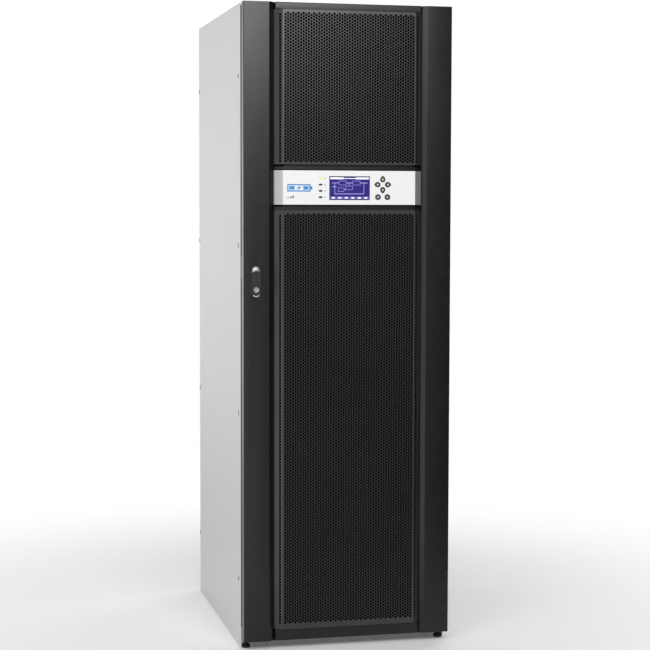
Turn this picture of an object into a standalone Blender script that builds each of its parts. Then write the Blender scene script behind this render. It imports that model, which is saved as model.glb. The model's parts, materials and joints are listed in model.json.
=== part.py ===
"""Floor-standing battery backup cabinet: steel enclosure, hinged front door with a control panel
and a swing-handle latch, battery packs on shelves, breakers, power modules and levelling feet.

Frame: metres, +Z up. Origin on the floor at the middle of the whole outline. The door faces -Y."""

import math

import bmesh
import bpy
from mathutils import Matrix, Vector

# ---- driving dimensions -------------------------------------------------------------------
WIDTH = 0.600            # outside faces of the side panels and of the door
DEPTH = 0.800            # face of the door pillars to the rear panel
HEIGHT = 1.820           # floor to the top of door and top cover
LATCH_PROUD = 0.014      # how far the latch stands in front of the door pillars

FIT = 0.0003             # gap between pieces that touch
SHEET = 0.0015           # cabinet sheet steel
DOOR_SHEET = 0.0020      # door sheet steel
BEND = 0.0032            # outside radius of a bend in the cabinet
DOOR_BEND = 0.0025       # outside radius of a bend in the door
BEND_EXTRA = 0.0005      # bend radius beyond the sheet in the small strips
TOOL_OVER = 0.010        # how far a cutting shape passes the piece it cuts

DOOR_DEPTH = 0.031
DOOR_BOTTOM = 0.027      # floor to the lower edge of the door
PILLAR_WIDTH = 0.073     # flat face of each door pillar
PILLAR_BEVEL = 0.0132    # width of the slope on a pillar's inner edge
VALLEY_DEPTH = 0.008     # depth of the valley between pillar and middle panels
PILLAR_RETURN = 0.015    # inward lip along a pillar's rear edge
MIDDLE_GAP = 0.0008      # gap between a pillar and the middle panels
MIDDLE_FLANGE = 0.0215   # width of the sloping flange of the middle panels
MIDDLE_PROUD = 0.011     # middle panels in front of the pillar faces
MIDDLE_LIP = 0.016       # lip that runs back from the valley
RAIL_SETBACK = 0.002     # top and bottom rails behind the pillar faces
RAIL_END_GAP = 0.0045    # pillar valley to the end of a rail
TOP_RAIL_HEIGHT = 0.0202
BOTTOM_RAIL_HEIGHT = 0.0345

CONTROL_DROP = 0.464     # top of the cabinet to the top of the control panel
CONTROL_HEIGHT = 0.0955
TRIM_GAP = 0.0025        # control panel to the upper trim strip
TRIM_HEIGHT = 0.0085
GRILLE_GROOVE = 0.0055   # upper trim strip to the upper grille
LOWER_TRIM_GAP = 0.0050
LOWER_TRIM_HEIGHT = 0.0095
FILTER_THICKNESS = 0.007
FILTER_MARGIN = 0.006
TRAY_CUT = 0.006         # depth of the cuts in the control panel

SCREEN_WIDTH = 0.1166
SCREEN_HEIGHT = 0.0660
SCREEN_THICKNESS = 0.003
SCREEN_RECESS = 0.0006
SCREEN_DROP = 0.0490     # top of the control panel to the middle of the screen
BOARD_WIDTH = 0.250
BOARD_HEIGHT = 0.084
BOARD_THICKNESS = 0.012
BUTTON_RADIUS = 0.0072
BUTTON_CLEARANCE = 0.0003
BUTTON_PROUD = 0.0013
BUTTON_LENGTH = 0.0060
BUTTON_TRAVEL = 0.0015
BUTTON_EDGE = 0.0005
PAD_X = 0.0960           # middle of the arrow buttons
PAD_DROP = 0.0388
PAD_STEP = 0.0148
PAIR_STEP = 0.0137       # enter and escape buttons, either side of PAD_X
PAIR_DROP = 0.0738
LED_X = -0.0833
LED_RADIUS = 0.0028
LED_PITCH = 0.0175
LED_DROP = 0.0220
LED_PROUD = 0.0006
LED_BOARD = 0.002        # thickness of the strip behind the lamps
LED_BOARD_HALF = 0.005
LED_BOARD_END = 0.006

HINGE_INSET = 0.006      # hinge axis to the cabinet side
HINGE_BEHIND = 0.010     # hinge axis behind the door
PIN_RADIUS = 0.003
PIN_CLEARANCE = 0.0003
LUG_RADIUS = 0.0055
LUG_HEIGHT = 0.008
PIN_ABOVE = 0.006
ARM_CLEARANCE = 0.003    # hinge arm in front of the side panel
LOWER_HINGE = 0.250
UPPER_HINGE_DROP = 0.260  # top of the cabinet to the upper hinge
HINGE_HEIGHTS = (LOWER_HINGE, HEIGHT - UPPER_HINGE_DROP)

LATCH_INSET = 0.0335     # door edge to the latch centre line
LATCH_MIDDLE = 1.0455
LATCH_WIDTH = 0.030
LATCH_HEIGHT = 0.092
LATCH_PLATE = 0.0012
SPINDLE_UP = 0.0381      # latch middle to the spindle
SPINDLE_RADIUS = 0.005
SPINDLE_CLEARANCE = 0.0015
KNUCKLE_RADIUS = 0.0055
CROSS_PIN_RADIUS = 0.002
HANDLE_WIDTH = 0.027
HANDLE_THICKNESS = 0.0095
HANDLE_FRONT = 0.0135
FORK_GAP = 0.0007
FORK_DEPTH = 0.012
HANDLE_ABOVE = 0.002     # lower end of the handle above that of the plate
LATCH_CORNER = 0.006
PIN_INSET = 0.003        # cross pin end inside the handle
CHEEK_ABOVE = 0.0045
KEY_DOWN = 0.0215        # latch middle to the key cylinder
KEY_RADIUS = 0.008
KEY_CLEARANCE = 0.0003
CAM_LENGTH = 0.028
CAM_WIDTH = 0.016
CAM_THICKNESS = 0.003
CAM_BEHIND = 0.007       # cam behind the door
CAM_CORNER = 0.005
STRIKE_HEIGHT = 0.060
STRIKE_WIDTH = 0.0160
STRIKE_SHEET = 0.002
STRIKE_GAP = 0.003       # strike plate behind the door

PANEL_SETBACK = 0.051    # side panels behind the pillar faces
PANEL_BOTTOM = 0.002
PANEL_LIP = 0.020
REAR_SHEET = 0.0017
COVER_LIP = 0.018
GLAND_LENGTH = 0.300
GLAND_WIDTH = 0.120
GLAND_FROM_REAR = 0.110
GLAND_OVERLAP = 0.010

POST_SIZE = 0.030
POST_WALL = 0.002
POST_INSET = 0.004       # cabinet side to a post
POST_SETBACK = 0.066
POST_FROM_REAR = 0.008
POST_CORNER = 0.004
FRONT_SETBACK = 0.004    # breaker panel and modules behind the front posts
BASE_UNDER = 0.0215      # floor to the underside of the base plate
BASE_THICKNESS = 0.004
BASE_SETBACK = 0.040
ENTRY_LENGTH = 0.240
ENTRY_WIDTH = 0.120
ENTRY_FROM_REAR = 0.130
ENTRY_CORNER = 0.010
KICK_BOTTOM = 0.004
KICK_HALF = 0.268
KICK_FLANGE = 0.012
KICK_NOTCHES = (0.078, 0.2175)
NOTCH_WIDTH = 0.005
NOTCH_HEIGHT = 0.013
FOOT_RADIUS = 0.0128
FOOT_INSET = 0.0155
FOOT_SETBACK = 0.056
FOOT_FROM_REAR = 0.030
STUD_RADIUS = 0.005
STUD_CLEARANCE = 0.0003
STUD_TOP = 0.050
NECK_TOP = 0.013         # collar between stud and pad
NECK_FOOT = 0.009
PAD_TOP = 0.008          # top of the rubber pad
FOOT_EDGE = 0.001

SHELF_COUNT = 3
PACKS_PER_SHELF = 2
SHELF_SHEET = 0.002
SHELF_LIP = 0.018
FIRST_SHELF = 0.060
PACK_HEIGHT = 0.250
PACK_HEADROOM = 0.048
PACK_GAP = 0.020
PACK_SETBACK = 0.110
PACK_FROM_REAR = 0.060
PULL_WIDTH = 0.110
PULL_HEIGHT = 0.036
PULL_BAR = 0.009
PULL_PROUD = 0.012
PULL_CORNER = 0.008
PULL_ROOT = 0.002        # pull let into the pack
PACK_EDGE = 0.004

BREAKER_COUNT = 2
BREAKER_WIDTH = 0.090
BREAKER_HEIGHT = 0.110
BREAKER_DEPTH = 0.080
BREAKER_PROUD = 0.006
BREAKER_SPACING = 0.180
BREAKER_PANEL_HEIGHT = 0.150
LEVER_RADIUS = 0.010
LEVER_CLEARANCE = 0.0005
LEVER_LENGTH = 0.030
LEVER_WIDTH = 0.036
LEVER_THICKNESS = 0.006
LEVER_TILT = math.radians(30)
LEVER_SETBACK = 0.004    # lever axis behind the breaker front

MODULE_COUNT = 2
MODULE_GAP = 0.012
MODULE_WALL = 0.003
MODULE_FRONT = 0.042
FAN_RADIUS = 0.070
FAN_CLEARANCE = 0.003
FAN_DEPTH = 0.020
FAN_RECESS = 0.034
FAN_SETBACK = 0.006      # fan behind the module front
BOSS_DEPTH = 0.004
FAN_HUB = 0.022
FAN_SHAFT = 0.004
FAN_BORE_CLEARANCE = 0.0004
FAN_BLADES = 7
BLADE_CHORD = 0.015
BLADE_THICKNESS = 0.002
BLADE_PITCH = math.radians(35)

# ---- places worked out from the sizes -----------------------------------------------------
HALF = WIDTH / 2
FRONT = -(DEPTH + LATCH_PROUD) / 2 + LATCH_PROUD
REAR = FRONT + DEPTH
DOOR_BACK = FRONT + DOOR_DEPTH
PILLAR_EDGE = HALF - PILLAR_WIDTH
VALLEY_X = PILLAR_EDGE - PILLAR_BEVEL
MIDDLE_X = VALLEY_X - MIDDLE_GAP
FLAT_X = MIDDLE_X - MIDDLE_FLANGE
FACE = FRONT - MIDDLE_PROUD
CONTROL_TOP = HEIGHT - CONTROL_DROP
CONTROL_BOTTOM = CONTROL_TOP - CONTROL_HEIGHT
UPPER_TRIM = (CONTROL_TOP + TRIM_GAP, CONTROL_TOP + TRIM_GAP + TRIM_HEIGHT)
LOWER_TRIM = (CONTROL_BOTTOM - LOWER_TRIM_GAP - LOWER_TRIM_HEIGHT, CONTROL_BOTTOM - LOWER_TRIM_GAP)
UPPER_GRILLE = (UPPER_TRIM[1] + GRILLE_GROOVE, HEIGHT - TOP_RAIL_HEIGHT - FIT)
LOWER_GRILLE = (DOOR_BOTTOM + BOTTOM_RAIL_HEIGHT + FIT, LOWER_TRIM[0] - FIT)
HINGE_X = HALF - HINGE_INSET
HINGE_Y = DOOR_BACK + HINGE_BEHIND
LATCH_X = -HALF + LATCH_INSET
SPINDLE_Z = LATCH_MIDDLE + SPINDLE_UP
KNUCKLE_Y = FRONT - LATCH_PROUD + KNUCKLE_RADIUS
KEY_Z = LATCH_MIDDLE - KEY_DOWN
PANEL_FRONT = FRONT + PANEL_SETBACK
PANEL_REAR = REAR - REAR_SHEET - FIT
COVER_UNDER = HEIGHT - SHEET
BASE_TOP = BASE_UNDER + BASE_THICKNESS
POST_OUTER = HALF - POST_INSET
POST_INNER = POST_OUTER - POST_SIZE
POST_FRONT = FRONT + POST_SETBACK
INNER_X = POST_INNER - FIT
SHELF_PITCH = PACK_HEIGHT + PACK_HEADROOM + SHELF_SHEET
BREAKER_PANEL = FIRST_SHELF + SHELF_COUNT * SHELF_PITCH - PACK_HEADROOM / 2
MODULE_BOTTOM = BREAKER_PANEL + BREAKER_PANEL_HEIGHT + MODULE_GAP
MODULE_TOP = COVER_UNDER - COVER_LIP - MODULE_GAP
MODULE_HEIGHT = (MODULE_TOP - MODULE_BOTTOM - (MODULE_COUNT - 1) * MODULE_GAP) / MODULE_COUNT

AXES = {
    "X": Matrix(((0, 0, 1, 0), (1, 0, 0, 0), (0, 1, 0, 0), (0, 0, 0, 1))),
    "Y": Matrix(((1, 0, 0, 0), (0, 0, 1, 0), (0, 1, 0, 0), (0, 0, 0, 1))),
    "Z": Matrix.Identity(4),
}


# ---- scene, materials and placing ---------------------------------------------------------
def clear_scene():
    for item in list(bpy.data.objects):
        bpy.data.objects.remove(item, do_unlink=True)


def new_collection(name):
    group = bpy.data.collections.new(name)
    bpy.context.scene.collection.children.link(group)
    return group


def new_material(name, colour, roughness, metallic=0.0):
    material = bpy.data.materials.new(name)
    material.use_nodes = True
    shader = material.node_tree.nodes["Principled BSDF"]
    shader.inputs["Base Color"].default_value = (*colour, 1.0)
    shader.inputs["Roughness"].default_value = roughness
    shader.inputs["Metallic"].default_value = metallic
    return material


def place(mesh, name, material, pivot=(0, 0, 0)):
    """Make the named piece from a mesh in world coordinates, with its origin at pivot."""
    mesh.transform(Matrix.Translation(-Vector(pivot)))
    mesh.name = name
    piece = bpy.data.objects.new(name, mesh)
    piece.location = pivot
    mesh.materials.append(material)
    PARTS.objects.link(piece)
    return piece


def as_tool(mesh, name, pivot=(0, 0, 0)):
    """Make a hidden cutter, or a shape to be joined to a piece."""
    tool = bpy.data.objects.new(name, mesh)
    mesh.transform(Matrix.Translation(-Vector(pivot)))
    tool.location = pivot
    tool.hide_render = True
    tool.display_type = "WIRE"
    CUTTERS.objects.link(tool)
    return tool


def combine(piece, operation, mesh):
    """Boolean a mesh in world coordinates with a piece."""
    tool = as_tool(mesh, piece.name + "_" + operation.lower())
    modifier = piece.modifiers.new(operation.title(), "BOOLEAN")
    modifier.operation = operation
    modifier.solver = "EXACT"
    modifier.object = tool


def round_edges(piece, width, segments=2, angle=40):
    modifier = piece.modifiers.new("Rounded edges", "BEVEL")
    modifier.width = width
    modifier.segments = segments
    modifier.limit_method = "ANGLE"
    modifier.angle_limit = math.radians(angle)


def smooth(piece, angle=35):
    piece.data.shade_smooth()
    piece.data.set_sharp_from_angle(angle=math.radians(angle))


# ---- shapes -------------------------------------------------------------------------------
def mesh_from(build):
    """A mesh filled by build(bm), with its faces turned outwards."""
    bm = bmesh.new()
    build(bm)
    bmesh.ops.recalc_face_normals(bm, faces=bm.faces)
    mesh = bpy.data.meshes.new("shape")
    bm.to_mesh(mesh)
    bm.free()
    return mesh


def box(low, high):
    low, high = Vector(low), Vector(high)
    size = Matrix.Diagonal((*(high - low), 1))
    place_box = Matrix.Translation((low + high) / 2) @ size
    return mesh_from(lambda bm: bmesh.ops.create_cube(bm, size=1, matrix=place_box))


def cylinder(centre, radius, low, high, axis="Z", segments=32):
    """A round bar along axis from low to high, with its centre line through (u, v)."""
    matrix = AXES[axis] @ Matrix.Translation((*centre, (low + high) / 2))

    def build(bm):
        bmesh.ops.create_cone(bm, cap_ends=True, segments=segments, radius1=radius,
                              radius2=radius, depth=high - low, matrix=matrix)
    return mesh_from(build)


def slab(outlines, low, high, axis="Z"):
    """Flat outlines (inner ones are holes) extruded along axis from low to high."""
    curve = bpy.data.curves.new("outline", "CURVE")
    curve.dimensions = "2D"
    curve.fill_mode = "BOTH"
    curve.extrude = (high - low) / 2
    for outline in outlines:
        spline = curve.splines.new("POLY")
        spline.points.add(len(outline) - 1)
        spline.use_cyclic_u = True
        for point, (u, v) in zip(spline.points, outline):
            point.co = (u, v, 0, 1)
    holder = bpy.data.objects.new("outline", curve)
    bpy.context.scene.collection.objects.link(holder)
    bpy.context.view_layer.update()
    evaluated = holder.evaluated_get(bpy.context.evaluated_depsgraph_get())
    mesh = bpy.data.meshes.new_from_object(evaluated)
    bpy.data.objects.remove(holder, do_unlink=True)
    mesh.transform(AXES[axis] @ Matrix.Translation((0, 0, (low + high) / 2)))

    def build(bm):
        bm.from_mesh(mesh)
        bmesh.ops.remove_doubles(bm, verts=bm.verts, dist=0.00002)
    return mesh_from(build)


def rectangle(low, high, radius=0.0, steps=4):
    """Outline of a rectangle with rounded corners."""
    (u0, v0), (u1, v1) = low, high
    corners = ((u1 - radius, v1 - radius), (u0 + radius, v1 - radius),
               (u0 + radius, v0 + radius), (u1 - radius, v0 + radius))
    if radius == 0:
        return list(corners)
    points = []
    for index, (u, v) in enumerate(corners):
        for step in range(steps + 1):
            angle = math.radians(90) * (index + step / steps)
            points.append((u + radius * math.cos(angle), v + radius * math.sin(angle)))
    return points


def ring(centre, radius, segments=24):
    """Outline of a circle."""
    turns = [math.tau * step / segments for step in range(segments)]
    return [(centre[0] + radius * math.cos(a), centre[1] + radius * math.sin(a)) for a in turns]


def fillet(path, radius, steps=3):
    """Replace each inner corner of an open path by an arc."""
    points = [Vector(path[0])]
    for before, corner, after in zip(path, path[1:], path[2:]):
        corner = Vector(corner)
        back = (Vector(before) - corner).normalized()
        ahead = (Vector(after) - corner).normalized()
        half = back.angle(ahead) / 2
        reach = radius / math.tan(half)
        centre = corner + (back + ahead).normalized() * (radius / math.sin(half))
        start = corner + back * reach - centre
        sweep = start.angle_signed(corner + ahead * reach - centre)
        for step in range(steps + 1):
            turn = Matrix.Rotation(-sweep * step / steps, 2)
            points.append(centre + turn @ start)
    points.append(Vector(path[-1]))
    return points


def folded(path, thickness, radius=BEND):
    """Closed outline of a bent sheet: an open path, thickened to its right-hand side."""
    outer = fillet(path, radius)
    inner = []
    for index, point in enumerate(outer):
        ahead = (outer[min(index + 1, len(outer) - 1)] - outer[index])
        back = (outer[index] - outer[max(index - 1, 0)])
        ahead = (ahead if ahead.length else back).normalized()
        back = (back if back.length else ahead).normalized()
        normal = (Vector((ahead.y, -ahead.x)) + Vector((back.y, -back.x))) / 2
        inner.append(point + normal * (thickness / normal.length_squared))
    return [tuple(p) for p in outer] + [tuple(p) for p in reversed(inner)]


def mirrored(path):
    """The same path on the other side, run backwards so that its right-hand side stays inside."""
    return [(-u, v) for u, v in reversed(path)]


# ---- cabinet ------------------------------------------------------------------------------
def make_shell():
    side = [(-HALF + PANEL_LIP, PANEL_FRONT), (-HALF, PANEL_FRONT),
            (-HALF, PANEL_REAR), (-HALF + PANEL_LIP, PANEL_REAR)]
    for name, path in (("left_side_panel", side), ("right_side_panel", mirrored(side))):
        mesh = slab([folded(path, SHEET)], PANEL_BOTTOM, COVER_UNDER - FIT)
        panel = place(mesh, name, PAINT_GREY)
        inner = HALF - SHEET - FIT * 2
        hand = -1 if name.startswith("left") else 1
        across = sorted((hand * inner, hand * (HALF - PANEL_LIP * 1.5)))
        foot_room = box((across[0], PANEL_FRONT - SHEET, 0),
                        (across[1], PANEL_FRONT + BEND, STUD_TOP + BEND))
        combine(panel, "DIFFERENCE", foot_room)
        smooth(panel)

    rear = box((-HALF + SHEET, REAR - REAR_SHEET, KICK_BOTTOM),
               (HALF - SHEET, REAR, COVER_UNDER - FIT))
    place(rear, "rear_panel", PAINT_GREY)

    lip_front = PANEL_FRONT + SHEET + FIT
    lip_rear = PANEL_REAR - SHEET - FIT
    path = [(lip_front, HEIGHT - COVER_LIP), (lip_front, HEIGHT),
            (lip_rear, HEIGHT), (lip_rear, HEIGHT - COVER_LIP)]
    cover = place(slab([folded(path, SHEET)], -HALF, HALF, "X"), "top_cover", PAINT_GREY)
    middle = REAR - GLAND_FROM_REAR
    for side in (-1, 1):
        corner = sorted((side * HALF * 1.1, side * (HALF - BEND - FIT)))
        for low, high in ((lip_front - SHEET, lip_front + BEND),
                          (lip_rear - BEND, lip_rear + SHEET)):
            combine(cover, "DIFFERENCE", box((corner[0], low, 0), (corner[1], high, HEIGHT + SHEET)))
    opening = box((-GLAND_LENGTH / 2, middle - GLAND_WIDTH / 2, HEIGHT - SHEET * 2),
                  (GLAND_LENGTH / 2, middle + GLAND_WIDTH / 2, HEIGHT + SHEET))
    combine(cover, "DIFFERENCE", opening)
    overlap = GLAND_OVERLAP
    gland = box((-GLAND_LENGTH / 2 - overlap, middle - GLAND_WIDTH / 2 - overlap,
                 COVER_UNDER - FIT - SHEET),
                (GLAND_LENGTH / 2 + overlap, middle + GLAND_WIDTH / 2 + overlap,
                 COVER_UNDER - FIT))
    place(gland, "top_gland_plate", PAINT_GREY)


def foot_places():
    for along, y in (("front", FRONT + FOOT_SETBACK), ("rear", REAR - FOOT_FROM_REAR)):
        for side, x in (("left", -HALF + FOOT_INSET), ("right", HALF - FOOT_INSET)):
            yield along + "_" + side, x, y


def make_base():
    back = REAR - REAR_SHEET - FIT
    middle = REAR - ENTRY_FROM_REAR
    outlines = [rectangle((-HALF + SHEET + FIT, FRONT + BASE_SETBACK),
                          (HALF - SHEET - FIT, back)),
                rectangle((-ENTRY_LENGTH / 2, middle - ENTRY_WIDTH / 2),
                          (ENTRY_LENGTH / 2, middle + ENTRY_WIDTH / 2), ENTRY_CORNER)]
    for _, x, y in foot_places():
        outlines.append(ring((x, y), STUD_RADIUS + STUD_CLEARANCE))
    base = place(slab(outlines, BASE_UNDER, BASE_TOP), "base_plate", PAINT_BLACK)
    lip = PANEL_LIP + FIT
    for side in (-1, 1):
        edge = sorted((side * HALF * 1.1, side * (HALF - lip)))
        for low, high in ((PANEL_FRONT - FIT, PANEL_FRONT + BEND + FIT),
                          (PANEL_REAR - BEND - FIT, PANEL_REAR + SHEET * 2)):
            combine(base, "DIFFERENCE", box((edge[0], low, 0), (edge[1], high, BASE_TOP * 2)))

    face = FRONT + BASE_SETBACK
    top = BASE_UNDER - FIT
    path = [(face, KICK_BOTTOM), (face, top), (face + KICK_FLANGE, top)]
    kick = place(slab([folded(path, SHEET, SHEET + BEND_EXTRA)], -KICK_HALF, KICK_HALF, "X"),
                 "kick_strip", PAINT_STRIP)
    for x in KICK_NOTCHES:
        for side in (-1, 1):
            notch = box((side * x - NOTCH_WIDTH / 2, face - SHEET, 0),
                        (side * x + NOTCH_WIDTH / 2, face + SHEET * 1.5,
                         KICK_BOTTOM + NOTCH_HEIGHT))
            combine(kick, "DIFFERENCE", notch)


def make_feet():
    """Turned glides on threaded studs, each on the axis of its own stud."""
    profile = [(0, STUD_TOP), (STUD_RADIUS * 0.8, STUD_TOP), (STUD_RADIUS, STUD_TOP - FOOT_EDGE),
               (STUD_RADIUS, NECK_TOP), (STUD_RADIUS * 1.6, NECK_TOP), (STUD_RADIUS * 1.7, NECK_FOOT),
               (FOOT_RADIUS - FOOT_EDGE, PAD_TOP), (FOOT_RADIUS, PAD_TOP - FOOT_EDGE), (FOOT_RADIUS, FOOT_EDGE),
               (FOOT_RADIUS - FOOT_EDGE, 0), (0, 0)]
    for name, x, y in foot_places():
        mesh = bpy.data.meshes.new("foot_profile")
        edges = [(index, index + 1) for index in range(len(profile) - 1)]
        mesh.from_pydata([(r, 0, z) for r, z in profile], edges, [])
        foot = place(mesh, "foot_" + name, RUBBER)
        foot.location = (x, y, 0)
        turn = foot.modifiers.new("Turned", "SCREW")
        turn.steps = 28
        turn.render_steps = 28
        turn.use_merge_vertices = True
        turn.merge_threshold = 0.00001


def make_posts():
    outer, inner = POST_OUTER, POST_INNER
    rear = REAR - POST_FROM_REAR
    places = {"front": (POST_FRONT, POST_FRONT + POST_SIZE), "rear": (rear - POST_SIZE, rear)}
    top = COVER_UNDER - FIT
    for along, (low, high) in places.items():
        for side, (left, right) in (("left", (-outer, -inner)), ("right", (inner, outer))):
            outlines = [rectangle((left, low), (right, high), POST_CORNER, 2),
                        rectangle((left + POST_WALL, low + POST_WALL),
                                  (right - POST_WALL, high - POST_WALL))]
            mesh = slab(outlines, BASE_TOP + FIT, top)
            smooth(place(mesh, "post_" + along + "_" + side, STEEL))


def make_hinges_and_strike():
    arm_in = POST_INNER + POST_WALL
    arm = HALF - PANEL_LIP - FIT * 2 - arm_in
    pin_top = LUG_HEIGHT + PIN_ABOVE
    for name, z in zip(("lower", "upper"), HINGE_HEIGHTS):
        nose = [(HINGE_X + LUG_RADIUS * math.cos(a), HINGE_Y + LUG_RADIUS * math.sin(a))
                for a in (math.radians(step * 15) for step in range(-10, 3))]
        outline = nose + [(HINGE_X, PANEL_FRONT - ARM_CLEARANCE), (arm_in + arm, PANEL_FRONT - ARM_CLEARANCE),
                          (arm_in + arm, POST_FRONT - FIT), (arm_in, POST_FRONT - FIT),
                          (arm_in, HINGE_Y - LUG_RADIUS * 0.3)]
        bracket = place(slab([outline], z - LUG_HEIGHT, z), "hinge_bracket_" + name, STEEL)
        combine(bracket, "UNION",
                cylinder((HINGE_X, HINGE_Y), PIN_RADIUS, z - LUG_HEIGHT * 0.6, z + pin_top, "Z", 24))

    lip = DOOR_BACK + STRIKE_GAP
    seat = PANEL_FRONT - FIT
    outside = -HALF + SHEET
    path = [(outside + STRIKE_WIDTH, lip), (outside, lip), (outside, seat),
            (outside + STRIKE_WIDTH, seat)]
    mesh = slab([folded(path, STRIKE_SHEET, STRIKE_SHEET + BEND_EXTRA)],
                SPINDLE_Z - STRIKE_HEIGHT / 2, SPINDLE_Z + STRIKE_HEIGHT / 2)
    place(mesh, "strike_plate", STEEL)


# ---- batteries, breakers and power modules ------------------------------------------------
def make_shelves_and_packs():
    front = POST_FRONT
    back = REAR - POST_FROM_REAR
    pack_width = (2 * INNER_X - (PACKS_PER_SHELF + 1) * PACK_GAP) / PACKS_PER_SHELF
    for level in range(SHELF_COUNT):
        top = FIRST_SHELF + level * SHELF_PITCH
        path = [(-INNER_X, top - SHELF_LIP), (-INNER_X, top), (INNER_X, top),
                (INNER_X, top - SHELF_LIP)]
        mesh = slab([folded(path, SHELF_SHEET)], front, back, "Y")
        place(mesh, "battery_shelf_" + str(level + 1), STEEL)
        for column in range(PACKS_PER_SHELF):
            left = -INNER_X + PACK_GAP + column * (pack_width + PACK_GAP)
            low = Vector((left, FRONT + PACK_SETBACK, top + FIT))
            high = Vector((left + pack_width, REAR - PACK_FROM_REAR, top + FIT + PACK_HEIGHT))
            number = level * PACKS_PER_SHELF + column + 1
            pack = place(box(low, high), "battery_pack_" + str(number), PLASTIC_DARK)
            round_edges(pack, PACK_EDGE)
            x = (low.x + high.x) / 2
            z = low.z + PACK_HEIGHT * 0.6
            pull = [rectangle((x - PULL_WIDTH / 2, z - PULL_HEIGHT / 2),
                              (x + PULL_WIDTH / 2, z + PULL_HEIGHT / 2), PULL_CORNER, 2),
                    rectangle((x - PULL_WIDTH / 2 + PULL_BAR, z - PULL_HEIGHT / 2 + PULL_BAR),
                              (x + PULL_WIDTH / 2 - PULL_BAR, z + PULL_HEIGHT / 2 - PULL_BAR))]
            combine(pack, "UNION", slab(pull, low.y - PULL_PROUD, low.y + PULL_ROOT, "Y"))


def make_breakers():
    low, high = BREAKER_PANEL, BREAKER_PANEL + BREAKER_PANEL_HEIGHT
    middle = (low + high) / 2
    face = POST_FRONT + FRONT_SETBACK
    first = -(BREAKER_COUNT - 1) * BREAKER_SPACING / 2
    centres = [first + index * BREAKER_SPACING for index in range(BREAKER_COUNT)]
    half_w, half_h = BREAKER_WIDTH / 2, BREAKER_HEIGHT / 2
    outlines = [rectangle((-INNER_X, low), (INNER_X, high))]
    for x in centres:
        outlines.append(rectangle((x - half_w - FIT, middle - half_h - FIT),
                                  (x + half_w + FIT, middle + half_h + FIT)))
    place(slab(outlines, face, face + SHELF_SHEET, "Y"), "breaker_panel", PAINT_GREY)

    front = face - BREAKER_PROUD
    axis_y = front + LEVER_SETBACK
    for number, x in enumerate(centres, 1):
        breaker = place(box((x - half_w, front, middle - half_h),
                            (x + half_w, front + BREAKER_DEPTH, middle + half_h)),
                        "breaker_" + str(number), PLASTIC_DARK)
        reach = LEVER_WIDTH / 2 + LEVER_CLEARANCE
        combine(breaker, "DIFFERENCE",
                cylinder((axis_y, middle), LEVER_RADIUS + LEVER_CLEARANCE, x - reach, x + reach,
                         "X", 32))
        pivot = (x, axis_y, middle)
        hub = cylinder((axis_y, middle), LEVER_RADIUS, x - LEVER_WIDTH / 2, x + LEVER_WIDTH / 2,
                       "X", 32)
        lever = place(hub, "breaker_lever_" + str(number), PLASTIC_GREEN, pivot)
        arm = box((x - LEVER_WIDTH / 3, axis_y - LEVER_LENGTH, middle - LEVER_THICKNESS / 2),
                  (x + LEVER_WIDTH / 3, axis_y, middle + LEVER_THICKNESS / 2))
        tilt = Matrix.Rotation(-LEVER_TILT, 4, "X")
        arm.transform(Matrix.Translation(pivot) @ tilt @ Matrix.Translation(-Vector(pivot)))
        combine(lever, "UNION", arm)


def fan_blades(x, y, z):
    """Flat blades pitched about their own length and spread round the shaft."""
    def build(bm):
        root, tip = FAN_HUB * 0.75, FAN_RADIUS
        blade = Matrix.Translation(((root + tip) / 2, 0, 0))
        blade = blade @ Matrix.Rotation(BLADE_PITCH, 4, "X")
        blade = blade @ Matrix.Diagonal((tip - root, BLADE_THICKNESS, BLADE_CHORD, 1))
        for index in range(FAN_BLADES):
            turn = Matrix.Rotation(math.tau * index / FAN_BLADES, 4, "Y")
            place_blade = Matrix.Translation((x, y, z)) @ turn @ blade
            bmesh.ops.create_cube(bm, size=1, matrix=place_blade)
    return mesh_from(build)


def make_modules():
    front = POST_FRONT + FRONT_SETBACK
    back = REAR - POST_FROM_REAR - POST_SIZE
    for number in range(1, MODULE_COUNT + 1):
        low = MODULE_BOTTOM + (number - 1) * (MODULE_HEIGHT + MODULE_GAP)
        high = low + MODULE_HEIGHT
        case = place(box((-INNER_X, front, low), (INNER_X, back, high)),
                     "power_module_" + str(number), PLASTIC_DARK)
        combine(case, "DIFFERENCE",
                box((-INNER_X + MODULE_WALL, front + MODULE_FRONT, low + MODULE_WALL),
                    (INNER_X - MODULE_WALL, back + TOOL_OVER, high - MODULE_WALL)))
        z = (low + high) / 2
        floor = front + FAN_RECESS
        well = [ring((0, z), FAN_RADIUS + FAN_CLEARANCE, 48), ring((0, z), FAN_SHAFT, 20)]
        combine(case, "DIFFERENCE", slab(well, front - TOOL_OVER, floor, "Y"))
        combine(case, "DIFFERENCE",
                cylinder((0, z), FAN_SHAFT * 2, front - TOOL_OVER * 2, front + BOSS_DEPTH, "Y", 24))

        y = front + FAN_SETBACK + FAN_DEPTH / 2
        hub = slab([ring((0, z), FAN_HUB, 28), ring((0, z), FAN_SHAFT + FAN_BORE_CLEARANCE, 20)],
                   y - FAN_DEPTH / 2, y + FAN_DEPTH / 2, "Y")
        rotor = place(hub, "fan_rotor_" + str(number), PLASTIC_DARK, (0, y, z))
        combine(rotor, "UNION", fan_blades(0, y, z))


# ---- door ---------------------------------------------------------------------------------
def pillar_path():
    return [(-VALLEY_X, DOOR_BACK - DOOR_SHEET), (-VALLEY_X, FRONT + VALLEY_DEPTH),
            (-PILLAR_EDGE, FRONT), (-HALF, FRONT), (-HALF, DOOR_BACK),
            (-HALF + PILLAR_RETURN, DOOR_BACK)]


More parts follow.
